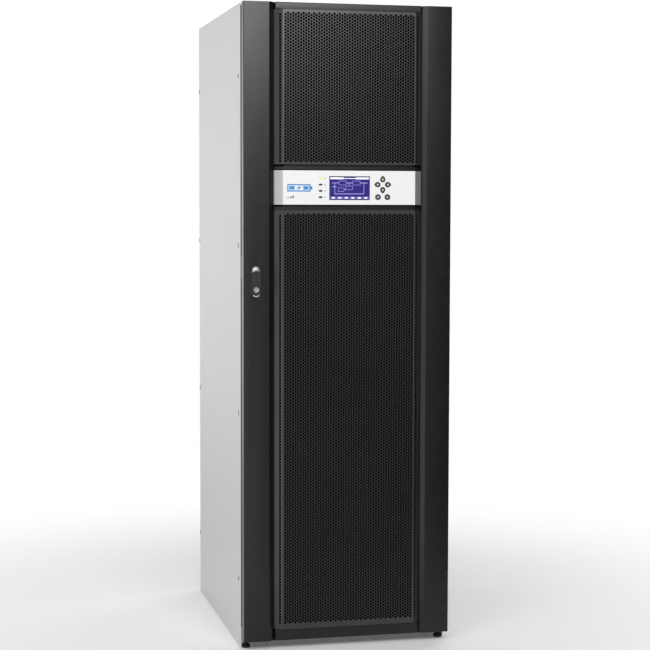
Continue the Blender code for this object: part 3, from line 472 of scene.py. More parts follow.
def tube(path, radius, sides=10):
    # A round wire along a path: rings square to the path, closed by a point at each end.
    path = np.asarray(path, dtype=float)
    run = np.gradient(path, axis=0)
    run /= np.linalg.norm(run, axis=1)[:, None]
    guide = np.array([0.0, 0.0, 1.0]) if abs(run[:, 2]).max() < 0.95 else np.array([0.31, 0.95, 0.05])
    side = np.cross(run, guide)
    side /= np.linalg.norm(side, axis=1)[:, None]
    other = np.cross(run, side)
    angle = np.linspace(0, math.tau, sides, endpoint=False)
    rings = path[:, None] + radius * (np.cos(angle)[None, :, None] * side[:, None]
                                      + np.sin(angle)[None, :, None] * other[:, None])
    points = np.concatenate([rings.reshape(-1, 3), path[:1], path[-1:]])
    row = np.arange(len(path) - 1)[:, None] * sides
    i = np.arange(sides)[None]
    j = (i + 1) % sides
    walls = np.stack([row + i, row + j, row + sides + j, row + sides + i], -1).reshape(-1, 4)
    first, last = len(points) - 2, len(points) - 1
    end = row[-1, 0] + sides
    caps = np.concatenate([np.stack([i[0], j[0], np.full(sides, first)], 1),
                           np.stack([i[0] + end, j[0] + end, np.full(sides, last)], 1)])
    return points, [walls, caps]


def roundRect(low, high, radius, steps=6):
    # Outline of a rectangle with arc corners.
    turn = np.linspace(0, math.pi / 2, steps + 1)
    quarter = np.stack([np.cos(turn), np.sin(turn)], 1) * radius
    spin = lambda k: quarter @ np.array([[math.cos(k), math.sin(k)], [-math.sin(k), math.cos(k)]])
    middles = ((high[0] - radius, high[1] - radius), (low[0] + radius, high[1] - radius),
               (low[0] + radius, low[1] + radius), (high[0] - radius, low[1] + radius))
    return np.concatenate([np.array(m) + spin(k * math.pi / 2) for k, m in enumerate(middles)])


def circle(centre, radius, steps=40):
    # Evenly turned points at one radius.
    turn = np.linspace(0, math.tau, steps, endpoint=False)
    return np.array(centre) + radius * np.stack([np.cos(turn), np.sin(turn)], 1)


def carve(piece, *shapes):
    # Cuts closed shapes out of a piece for good, before it gets any other modifier.
    cutter = putPiece(piece.name + "_cutter", *joined(*shapes), blackPaint, None)
    cut = piece.modifiers.new("cut", "BOOLEAN")
    cut.operation, cut.solver, cut.object = "DIFFERENCE", "EXACT", cutter
    keep = [m for m in piece.modifiers if m != cut]
    for modifier in keep:
        modifier.show_viewport = False
    bpy.context.view_layer.update()
    fresh = bpy.data.meshes.new_from_object(piece.evaluated_get(bpy.context.evaluated_depsgraph_get()))
    piece.modifiers.remove(cut)
    for modifier in keep:
        modifier.show_viewport = True
    old, piece.data = piece.data, fresh
    fresh.name = piece.name
    bpy.data.meshes.remove(old)
    bpy.data.objects.remove(cutter, do_unlink=True)
    smoothed(fresh)
    return piece


print("shape tools ready")


places = 7            # decimals kept in flat coordinates, so that shared corners merge exactly


def hexField(s0, s1, v0, v1, pitch, hole):
    # Staggered holes on a rectangle: each hexagonal cell is a ring of six quads round a hole.
    # Cell corners past the last full row or column are pulled out to the rectangle's edge.
    reach = pitch / math.sqrt(3)
    columns = max(1, int(round(((s1 - s0) - 2 * reach) / (1.5 * reach))) + 1)
    columns -= 1 - columns % 2
    rows = int((v1 - v0 - pitch / 2) / pitch)
    scaleU = (s1 - s0) / ((columns - 1) * 1.5 * reach + 2 * reach)
    scaleV = (v1 - v0) / (rows * pitch + pitch / 2)
    column, row = (a.ravel() for a in np.meshgrid(np.arange(columns), np.arange(rows), indexing="ij"))
    centreU = s0 + (reach + column * 1.5 * reach) * scaleU
    centreV = v0 + (pitch / 2 + row * pitch + (column % 2) * pitch / 2) * scaleV
    angle = np.arange(6) * math.pi / 3
    outerU = centreU[:, None] + reach * scaleU * np.cos(angle)
    outerV = centreV[:, None] + reach * scaleV * np.sin(angle)
    near = 0.6                          # share of a cell within which a corner goes to the edge
    onLeft = outerU < s0 + near * reach * scaleU
    onRight = outerU > s1 - near * reach * scaleU
    outerU = np.round(np.where(onLeft, s0, np.where(onRight, s1, outerU)), places)
    k = np.arange(6)[None]
    sidePoint = (onLeft & (k == 3)) | (onRight & (k == 0))
    outerV = np.where((outerV > v1 - near * pitch * scaleV) & ~sidePoint, v1, outerV)
    outerV = np.where((outerV < v0 + near * pitch * scaleV) & ~sidePoint, v0, outerV)
    outerV = np.round(outerV, places)
    innerU = centreU[:, None] + hole * np.cos(angle)
    innerV = centreV[:, None] + hole * np.sin(angle)
    count = len(centreU)
    points = np.concatenate([np.stack([outerU, outerV], -1), np.stack([innerU, innerV], -1)], 1)
    points = points.reshape(-1, 2)
    cell = np.arange(count)[:, None] * 12
    i, j = np.arange(6)[None], (np.arange(6)[None] + 1) % 6
    quads = np.stack([cell + i, cell + j, cell + 6 + j, cell + 6 + i], -1).reshape(-1, 4)
    edgeU = np.unique(outerU[(outerV == v0) | (outerV == v1)])
    edgeV = np.unique(outerV[(outerU == s0) | (outerU == s1)])
    return points, quads, edgeU, edgeV


def alongPath(path):
    # Distance along a path at each of its points.
    return np.concatenate([[0], np.cumsum(np.linalg.norm(np.diff(path, axis=0), axis=1))])


def gridOf(us, vs):
    # A plain grid of quads on the lines us and vs.
    u, v = np.meshgrid(us, vs, indexing="ij")
    points = np.stack([u.ravel(), v.ravel()], 1)
    i, j = np.meshgrid(np.arange(len(us) - 1), np.arange(len(vs) - 1), indexing="ij")
    first = (i * len(vs) + j).ravel()
    return points, np.stack([first, first + len(vs), first + len(vs) + 1, first + 1], 1)


def perforated(names, section, fields, v0, v1, low, high, thickness, pitch, hole, material, body, **keep):
    # A sheet with fields of holes. Flat coordinates are the distance along the section and the height;
    # the back face is the front moved inwards, and every open edge gets a wall. Faces are shared out
    # among the names by height, so that each piece stays a moderate size.
    arc = np.round(alongPath(section), places)
    side = rightSide(section)
    fields, (v0, v1, low, high) = np.round(fields, places), np.round([v0, v1, low, high], places)
    spare = 0.0004                      # bend lines nearer than this to a field are left out
    shapes, edgesU, vs = [], [], None
    for s0, s1 in fields:
        points, quads, edgeU, vs = hexField(s0, s1, v0, v1, pitch, hole)
        shapes.append((points, quads))
        edgesU.append(edgeU)
    bounds = [0.0] + [s for field in fields for s in field] + [arc[-1]]
    plainU = []
    for a, b in zip(bounds[0::2], bounds[1::2]):
        inside = arc[(arc > a + spare) & (arc < b - spare)]
        plainU.append(np.concatenate([[a], inside, [b]]))
        shapes.append(gridOf(plainU[-1], vs))
    allU = np.unique(np.concatenate(plainU + edgesU))
    shapes += [gridOf(allU, np.array([low, v0])), gridOf(allU, np.array([v1, high]))]
    flat, quads = joined(*[(points, [faces]) for points, faces in shapes])
    quads = np.concatenate(quads)
    keys = np.rint(flat * 10 ** places).astype(np.int64)
    keys = keys[:, 0] * 10 ** 9 + keys[:, 1]
    _, first, back = np.unique(keys, return_index=True, return_inverse=True)
    flat, quads = flat[first], back.ravel()[quads]
    height = flat[quads, 1].mean(1)
    shares = np.linspace(low, high, len(names) + 1)
    for name, bottom, top in zip(names, shares, shares[1:]):
        used, own = np.unique(quads[(height >= bottom) & (height < top)], return_inverse=True)
        own = own.reshape(-1, 4)
        mine, count = flat[used], len(used)
        where = np.stack([np.interp(mine[:, 0], arc, section[:, k]) for k in (0, 1)], 1)
        inward = np.stack([np.interp(mine[:, 0], arc, side[:, k]) for k in (0, 1)], 1)
        front = np.column_stack([where, mine[:, 1]])
        rear = np.column_stack([where + inward * thickness, mine[:, 1]])
        edges = np.concatenate([own[:, [k, (k + 1) % 4]] for k in range(4)])
        ordered = np.sort(edges, axis=1)
        _, index, uses = np.unique(ordered[:, 0].astype(np.int64) * count + ordered[:, 1],
                                   return_index=True, return_counts=True)
        rim = edges[index[uses == 1]]
        walls = np.stack([rim[:, 1], rim[:, 0], rim[:, 0] + count, rim[:, 1] + count], 1)
        points = np.concatenate([front, rear])
        putPiece(name, points, [own, own[:, ::-1] + count, walls], material, body, **keep)


door = dict(
    pillarFace=0.073, bevel=0.0132, valley=0.008, lip=0.015, bend=0.0022, sheet=0.002,
    middleGap=0.0008, flange=0.0215, proud=0.011, middleLip=0.016, flangeField=0.0105, bendPlain=0.0022,
    grilleSheet=0.0012, bendTurn=42, pitch=0.0083, hole=0.0040, marginTop=0.0062, marginBottom=0.0045,
    lowerTopMargin=0.0088, lowerBottomMargin=0.0145, capInset=0.0006, capDepth=0.0034, capGap=0.0002,
    latchHole=0.0065, latchDrop=0.008)
cutReach = 0.01                         # how far a cutting shape reaches past what it cuts

valleyX = halfWidth - door["pillarFace"] - door["bevel"]
middleX = valleyX - door["middleGap"]
flatX = middleX - door["flange"]
middleY = faceY - door["proud"]


def pillarPath(side):
    # Plan of a door pillar: lip, outer edge, face, bevel and the inner wall.
    edge = halfWidth - door["pillarFace"]
    path = [(-valleyX, doorBackY - door["sheet"]), (-valleyX, faceY + door["valley"]), (-edge, faceY),
            (-halfWidth, faceY), (-halfWidth, doorBackY), (-halfWidth + door["lip"], doorBackY)]
    return path if side < 0 else [(-x, y) for x, y in reversed(path)]


def makePillars():
    # Each pillar is a bent sheet with a plastic cap in both ends; the left one has the latch's hole.
    inset, deep = door["capInset"], door["capInset"] + door["capDepth"]
    for side, name in ((-1, "door_pillar_left"), (1, "door_pillar_right")):
        sheet = bentSheet(pillarPath(side), door["bend"], door["sheet"], doorBottom, doorTop)
        outer = rounded(pillarPath(side), door["bend"])
        inner = outer + rightSide(outer) * (door["sheet"] + door["capGap"])
        piece = putPiece(name + "_skin", *sheet, blackPaint, "door", stands=(name,), slot="black_paint")
        for end, low, high in (("top", doorTop - deep, doorTop - inset),
                               ("bottom", doorBottom + inset, doorBottom + deep)):
            putPiece(name + "_cap_" + end, *plate(inner, low, high, "Z"), blackPlastic, "door",
                     slot="black_paint")
        if side < 0:
            spindle = corners("latch_spindle")
            centre = ((spindle[0][0] + spindle[1][0]) / 2, spindle[1][2] - door["latchDrop"])
            carve(piece, plate(circle(centre, door["latchHole"]), faceY - cutReach, faceY + cutReach))


lug = dict(below=0.0134, above=0.0054, nose=0.0055, bore=0.0033, intoDoor=0.0002, bevel=0.0004)


def makeHingeLugs():
    # Welded lugs with round noses, half circles about the hinge, that turn on the bracket pins.
    hinge, nose = jointAt("door_hinge"), lug["nose"]
    turn = np.linspace(0, math.pi, 19)
    arc = np.stack([hinge[0] + nose * np.cos(turn), hinge[1] + nose * np.sin(turn)], 1)
    root = doorBackY - lug["intoDoor"]
    outline = np.concatenate([arc, [[hinge[0] - nose, root], [hinge[0] + nose, root]]])
    shapes, bores = [], []
    for node in ("hinge_bracket_lower", "hinge_bracket_upper"):
        low, high = corners(node)
        shapes.append(plate(outline, high[2] - lug["below"], high[2] - lug["above"], "Z"))
        bores.append(plate(circle(hinge[:2], lug["bore"], 24), low[2], high[2] + cutReach, "Z"))
    lugs = putPiece("hinge_lugs", *joined(*shapes), blackPaint, "door", slot="black_paint",
                    bevel=lug["bevel"])
    carve(lugs, *bores)


def middlePath():
    # Plan of the middle panels: lip, sloping flange, flat face, and the same again.
    valley = faceY + door["valley"]
    left = [(-flatX, middleY), (-middleX, valley), (-middleX, valley + door["middleLip"])]
    return [(-x, y) for x, y in reversed(left)] + left


def makeGrilles():
    # One folded section for both grilles, with fields of holes on its flat face and on both flanges.
    section = rounded(middlePath(), door["bend"])
    arc = alongPath(section)
    onFlat = np.abs(section[:, 1] - middleY) < 1e-6
    flatStart, flatEnd = arc[onFlat][0], arc[onFlat][-1]
    plain, wide = door["bendPlain"], door["flangeField"]
    bendLength = door["bend"] * math.radians(door["bendTurn"])
    outStart, outEnd = flatStart - bendLength - plain, flatEnd + bendLength + plain
    fields = [(outStart - wide, outStart), (flatStart + plain, flatEnd - plain), (outEnd, outEnd + wide)]
    common = dict(thickness=door["grilleSheet"], pitch=door["pitch"], hole=door["hole"], material=meshSheenPaint,
                  body="door", slot="black_paint")
    for names, node, below, above in (
            (("upper_grille_mesh",), "upper_grille", door["marginBottom"], door["marginTop"]),
            (("lower_grille_mesh_bottom", "lower_grille_mesh_top"), "lower_grille",
             door["lowerBottomMargin"], door["lowerTopMargin"])):
        low, high = corners(node)
        perforated(names, section, fields, low[2] + below, high[2] - above, low[2], high[2],
                   stands=(node,), **common)
    for node in ("upper_trim", "lower_trim"):
        low, high = corners(node)
        putPiece(node + "_strip", *bentSheet(middlePath(), door["bend"], door["sheet"], low[2], high[2]),
                 blackPaint, "door", stands=(node,), slot="black_paint", bevel=0.0006)


def makeRails():
    # Channels that are open towards the cabinet.
    for node in ("door_rail_top", "door_rail_bottom"):
        low, high = corners(node)
        path = [(high[1], low[2]), (low[1], low[2]), (low[1], high[2]), (high[1], high[2])]
        putPiece(node + "_skin", *bentSheet(path, door["bend"], door["sheet"], low[0], high[0], "X"),
                 blackPaint, "door", stands=(node,), slot="black_paint", bevel=0.0005)


notchBlock = dict(gap=0.0001, intoRail=0.003, front=0.002, rear=0.004, foot=0.0003, head=0.0006)
# the strip's points and the bars' reach are outwards from the flat face's edge, and depths back from it
edging = dict(
    strip=((-0.0053, 0.0095), (0.0010, 0.0095), (0.0201, 0.0252), (0.0201, 0.0300), (-0.0053, 0.0125)),
    stripFoot=0.0380, stripHead=0.0240, midBar=(-0.0057, 0.0097, 0.0115), railBar=(0.0190, 0.0202, 0.0216),
    boardGap=0.0010, filterGap=0.0005, railGap=0.0003, tall=0.0140, bevel=0.0004)


def makeCornerPlugs():
    # Near-black foam blocks that fill the notch between each rail end and its pillar, as painted shade in
    # that notch.
    boxes = []
    front, rear = faceY + door["valley"] + notchBlock["front"], doorBackY - notchBlock["rear"]
    for node in ("door_rail_top", "door_rail_bottom"):
        low, high = corners(node)
        for side in (-1, 1):
            x = sorted((side * (valleyX - notchBlock["gap"]), side * (high[0] - notchBlock["intoRail"])))
            boxes.append([(x[0], front, low[2] + notchBlock["foot"]), (x[1], rear, high[2] - notchBlock["head"])])
    putPiece("door_corner_plugs", *blocks(boxes), filterFoam, "door", slot="black_paint")


def makeFilterEdges():
    # Foam strips behind the sloping flanges, whose near-black is partly painted shade seen through the flange
    # holes, and black bars behind the gaps between the middle panels, as painted shade in those gaps.
    strips = [plate([(side * (flatX + x), middleY + y) for x, y in edging["strip"]],
                    doorBottom + edging["stripFoot"], doorTop - edging["stripHead"], "Z") for side in (-1, 1)]
    putPiece("filter_edges", *joined(*strips), filterFoam, "door", slot="filter_foam")
    boardLow, boardHigh = corners("display_board")
    filterLow, filterHigh = corners("upper_air_filter")[0][2], corners("lower_air_filter")[1][2]
    railTop, railBottom = corners("door_rail_top")[0][2], corners("door_rail_bottom")[1][2]
    bars = []
    for (out, front, rear), low, high in (
            (edging["midBar"], boardHigh[2] + edging["boardGap"], filterLow - edging["filterGap"]),
            (edging["midBar"], filterHigh + edging["filterGap"], boardLow[2] - edging["boardGap"]),
            (edging["railBar"], railBottom + edging["railGap"], railBottom + edging["tall"]),
            (edging["railBar"], railTop - edging["tall"], railTop - edging["railGap"])):
        reach = flatX + out
        bars.append([(-reach, middleY + front, low), (reach, middleY + rear, high)])
    putPiece("gap_covers", *blocks(bars), blackPaint, "door", slot="black_paint", bevel=edging["bevel"])


makePillars()
makeFilterEdges()
makeCornerPlugs()
makeHingeLugs()
makeGrilles()
makeRails()
print("door panels made")


panel = dict(
    film=0.00025, filmBack=0.0001, filmInset=0.0012, filmGap=0.0006, filmCorner=0.0008, windowGap=0.0003,
    windowCorner=0.0012, cutBack=0.008, buttonRadius=0.0072, keyGrow=1.10, gap=0.0004, keySink=0.0001,
    keyBevel=0.0007, lampHalf=(0.0050, 0.0025), lampGap=0.0002, lampInset=0.006, lampProud=0.0007,
    lampDeep=0.003, lampBevel=0.0005, boardGap=0.0032, boardSpare=0.001, dash=(0.0108, 0.0146, 0.0013),
    inkDepth=0.00012, screwInset=0.008, screwAcross=0.62, screwProud=0.0005)

# a key's outline in shares of its radius, and its dot as radius and depth from the key's front
keyShape = dict(round=0.93, point=0.30, power=7, back=0.08,
                dome=((0, -0.0002), (0.0015, -0.00015), (0.0024, 0.0001), (0.0027, 0.0006), (0, 0.0006)))


def teardrop(centre, radius, heading, steps=36):
    # A circle drawn out to a point towards heading: the radius grows with the cosine to a high power.
    turn = np.linspace(0, math.tau, steps, endpoint=False)
    grow = radius * (keyShape["round"] + keyShape["point"] * np.maximum(0, np.cos(turn)) ** keyShape["power"])
    shape = np.stack([grow * np.cos(turn + heading), grow * np.sin(turn + heading)], 1)
    back = np.array([math.cos(heading), math.sin(heading)]) * radius * keyShape["back"]
    return np.array(centre) + shape - back


buttonHeadings = {"button_up": 90, "button_down": -90, "button_left": 180, "button_right": 0,
                  "button_enter": None, "button_escape": None}


def buttonShape(node, radius):
    # Middle and outline of a key, slightly wider than its solid.
    low, high = corners(node)
    centre = ((low[0] + high[0]) / 2, (low[2] + high[2]) / 2)
    radius = radius * panel["keyGrow"]
    heading = buttonHeadings[node]
    if heading is None:
        return centre, circle(centre, radius, 36)
    return centre, teardrop(centre, radius, math.radians(heading))


def ledPlaces():
    # Four lamps evenly down the light strip.
    low, high = corners("led_strip")
    down = np.linspace(high[2] - panel["lampInset"], low[2] + panel["lampInset"], 4)
    return [((low[0] + high[0]) / 2, z) for z in down]


def lampOutline(centre, spare=0.0):
    half = np.array(panel["lampHalf"]) + spare
    return roundRect(np.array(centre) - half, np.array(centre) + half, half[1] * 0.8)


def makeControlPanel():
    # A folded tray under a printed film, both with openings for the screen, the keys and the lamps.
    low, high = corners("control_panel")
    sheet = bentSheet(middlePath(), door["bend"], door["sheet"], low[2], high[2])
    tray = putPiece("control_panel_tray", *sheet, silverPaint, "door", stands=("control_panel",),
                    slot="silver_paint")
    glassLow, glassHigh = corners("screen_window")
    gap = panel["windowGap"]
    outlines = [roundRect((glassLow[0] - gap, glassLow[2] - gap), (glassHigh[0] + gap, glassHigh[2] + gap),
                          panel["windowCorner"])]
    outlines += [buttonShape(node, panel["buttonRadius"] + panel["gap"])[1] for node in buttonHeadings]
    outlines += [lampOutline(centre, panel["lampGap"]) for centre in ledPlaces()]
    cuts = [plate(outline, middleY - cutReach, middleY + panel["cutBack"]) for outline in outlines]
    carve(tray, *cuts)
    edge, gap = flatX - panel["filmInset"], panel["filmGap"]
    outline = roundRect((-edge, low[2] + gap), (edge, high[2] - gap), panel["filmCorner"])
    shape = plate(outline, middleY - panel["film"], middleY + panel["filmBack"])
    film = putPiece("control_panel_film", *shape, filmPale, "door", slot="silver_paint")
    carve(film, *cuts)
    across = middleX - door["flange"] * panel["screwAcross"]
    head = ((0, 0), (0.0016, 0), (0.0021, 0.0003), (0.0021, 0.0008), (0, 0.0008))
    screws = [turned(head, (side * across, faceY - panel["screwProud"], z), "Y", 20)
              for side in (-1, 1) for z in (low[2] + panel["screwInset"], high[2] - panel["screwInset"])]
    putPiece("control_panel_screws", *joined(*screws), zincCast, "door", slot="zinc_alloy")


def makeButtons():
    # Dark keys with a rounded rim and a pale raised middle.
    for node in buttonHeadings:
        low, high = corners(node)
        centre, outline = buttonShape(node, panel["buttonRadius"])
        putPiece(node + "_key", *plate(outline, low[1] + panel["keySink"], high[1]), keyRubber, node,
                 stands=(node,), slot="button_rubber", bevel=panel["keyBevel"], segments=3)
        dome = [(r, low[1] + y) for r, y in keyShape["dome"]]
        putPiece(node + "_dot", *turned(dome, (centre[0], 0, centre[1]), "Y", 24), capPlastic, node,
                 slot="button_rubber")


def makeLamps():
    # Four lamps, the first one lit, on a board behind the tray; a plain dash is printed beside each.
    low, high = corners("led_strip")
    for index, centre in enumerate(ledPlaces()):
        shape = plate(lampOutline(centre), middleY - panel["lampProud"], middleY + panel["lampDeep"])
        lamp = putPiece("lamp_" + str(index + 1), *shape, lampGreen if index == 0 else lampDark, "door",
                        slot="screen_plastic", bevel=panel["lampBevel"], segments=3)
        if index == 0:
            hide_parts("led_strip")
    spare = panel["boardSpare"]
    strip = [(low[0] - spare, middleY + panel["boardGap"], low[2]), (high[0] + spare, high[1], high[2])]
    putPiece("lamp_board", *blocks([strip]), casePlastic, "door", slot="screen_plastic")
    front, back = middleY - panel["film"] - panel["inkDepth"], middleY + panel["filmBack"]
    start, end, half = panel["dash"]
    dashes = [[(x + start, front, z - half), (x + end, back, z + half)] for x, z in ledPlaces()]
    putPiece("lamp_marks", *blocks(dashes), markGrey, "door", slot="silver_paint")


# the sign's low and high corners are measured from the low corner of the control panel
sign = dict(low=(0.0345, 0.0363), high=(0.1060, 0.0571), stroke=0.0036, tip=0.0050, tipInset=0.0060,
            cellInset=0.0058, cellWide=0.0150, cellGap=0.0056,
            levelDrop=0.0185, levelWide=0.0050, levelStep=0.0070, levelTop=0.0160, levelRise=0.0026,
            bolt=((0.0052, 0.0068), (-0.0078, -0.0016), (-0.0012, -0.0016), (-0.0052, -0.0068),
                  (0.0078, 0.0016), (0.0012, 0.0016)))


def makeMark():
    # A plain battery sign with a charge bolt and cell bars, and three level bars under it.
    corner = corners("control_panel")[0]
    (x0, z0), (x1, z1) = ((corner[0] + x, corner[2] + z) for x, z in (sign["low"], sign["high"]))
    front, back = middleY - panel["film"] - panel["inkDepth"], middleY + panel["filmBack"]
    stroke, wide, right = sign["stroke"], sign["cellWide"], x1 - sign["tip"]
    flat = [(x0, z0, right, z0 + stroke), (x0, z1 - stroke, right, z1),
            (x0, z0 + stroke, x0 + stroke, z1 - stroke), (right - stroke, z0 + stroke, right, z1 - stroke),
            (right, z0 + sign["tipInset"], x1, z1 - sign["tipInset"])]
    flat += [(x, z0 + sign["cellGap"], x + wide, z1 - sign["cellGap"])
             for x in (x0 + sign["cellInset"], right - sign["cellInset"] - wide)]
    bars = [[(a, front, b), (c, back, d)] for a, b, c, d in flat]
    putPiece("battery_sign", *blocks(bars), markBlue, "door", slot="silver_paint")
    bolt = np.array(sign["bolt"]) + ((x0 + right) / 2, (z0 + z1) / 2)
    putPiece("charge_bolt", *plate(bolt, front, back), markBlue, "door", slot="silver_paint")
    levels = []
    for k in range(3):
        x, top = x0 + k * sign["levelStep"], z0 - sign["levelTop"] + k * sign["levelRise"]
        levels.append([(x, front, z0 - sign["levelDrop"]), (x + sign["levelWide"], back, top)])
    putPiece("level_bars", *blocks(levels), markGrey, "door", slot="silver_paint")


screen = dict(border=0.0030, line=0.00075, corner=0.001, ink=0.0002, rim=0.0014, glyphProud=0.00008,
              keys=(0.0, 0.17, 0.34, 0.51, 0.68, 0.85), keyWide=0.15, keyTall=0.10)


def makeScreen():
    # The pane with bars on it: a head line, a flow diagram and soft keys, placed by shares of the pane.
    low, high = corners("screen_window")
    pane = plate(roundRect((low[0], low[2]), (high[0], high[2]), screen["corner"]), low[1], high[1])
    putPiece("screen_pane", *pane, screenBlue, "door", stands=("screen_window",), slot="screen_plastic")
    front, back = low[1] - screen["ink"], low[1] + screen["ink"]
    x0, x1 = low[0] + screen["border"], high[0] - screen["border"]
    z0, z1 = low[2] + screen["border"], high[2] - screen["border"]
    w, h, line = x1 - x0, z1 - z0, screen["line"]

    def bar(u0, v0, u1, v1):
        return [(x0 + w * u0, front, z0 + h * v0), (x0 + w * u1, back, z0 + h * v1)]

    def outline(u0, v0, u1, v1):
        a, b = line / w, line / h
        return [bar(u0, v0, u1, v0 + b), bar(u0, v1 - b, u1, v1), bar(u0, v0, u0 + a, v1),
                bar(u1 - a, v0, u1, v1)]

    edge = screen["rim"]
    rim = [[(low[0], front, high[2] - edge), (high[0], back, high[2])],
           [(low[0], front, low[2]), (high[0], back, low[2] + edge)],
           [(low[0], front, low[2]), (low[0] + edge, back, high[2])],
           [(high[0] - edge, front, low[2]), (high[0], back, high[2])]]
    putPiece("screen_rim", *blocks(rim), blackPlastic, "door", slot="screen_plastic")
    head = [bar(0.0, 0.915, 0.34, 1.0), bar(0.66, 0.915, 1.0, 1.0), bar(0.34, 0.935, 0.66, 0.965)]
    putPiece("screen_head", *blocks(head), pixelWhite, "door", slot="screen_plastic")
    flow = outline(0.22, 0.64, 0.42, 0.84) + outline(0.58, 0.64, 0.78, 0.84) + outline(0.40, 0.42, 0.58, 0.60)
    flow += outline(0.20, 0.34, 0.36, 0.52)
    flow += [bar(0.04, 0.73, 0.22, 0.755), bar(0.42, 0.73, 0.58, 0.755), bar(0.78, 0.73, 0.97, 0.755),
             bar(0.485, 0.60, 0.495, 0.73), bar(0.11, 0.22, 0.12, 0.73), bar(0.11, 0.22, 0.88, 0.245),
             bar(0.87, 0.22, 0.88, 0.73), bar(0.36, 0.42, 0.40, 0.445), bar(0.04, 0.55, 0.16, 0.575)]
    putPiece("screen_flow", *blocks(flow), pixelPale, "door", slot="screen_plastic")
    keys = [bar(u, 0.0, u + screen["keyWide"], screen["keyTall"]) for u in screen["keys"]]
    putPiece("screen_keys", *blocks(keys), pixelDim, "door", slot="screen_plastic")
    glyphs = [bar(u + 0.040, 0.02, u + 0.110, 0.08) for u in screen["keys"]]
    glyphs = [[(a[0], front - screen["glyphProud"], a[2]), b] for a, b in glyphs]
    putPiece("screen_glyphs", *blocks(glyphs), pixelWhite, "door", slot="screen_plastic")


makeControlPanel()
makeButtons()
makeLamps()
makeMark()
makeScreen()
print("control panel made")


latch = dict(
    bossRadius=0.0112, bossDrop=0.0078, bossRise=0.0012, domeFall=0.0014, bore=0.0065, clearance=0.0004,
    gripBevel=0.0018, crownDrop=0.0082, crownTall=0.80, wide=0.99, tongueFoot=0.001, tongueFront=0.0002,
    tongueRear=0.0030, tongueBevel=0.0008, lipRadius=0.0112, lipInner=0.0095, lipUp=0.0135, lipInnerUp=0.0152,
    lipProud=0.0004, lipRear=0.001, shaft=0.005, camHalf=0.008, camCorner=0.0055, camThick=0.003, nut=0.0068,
    nutFront=0.0075, nutRear=0.0031, keyRadius=0.0080, keyGap=0.0003, slotWide=0.0009, slotTall=0.0038,
    slotCorner=0.0008, slotDepth=0.004, edge=0.0004)
# the key barrel's profile: shares of its radius, and depths behind its face
barrel = ((0, 0.0009), (0.58, 0.0009), (0.64, 0.0003), (0.72, 0), (0.88, 0), (1, 0.0009), (1, 0.0085),
          (0, 0.0085))


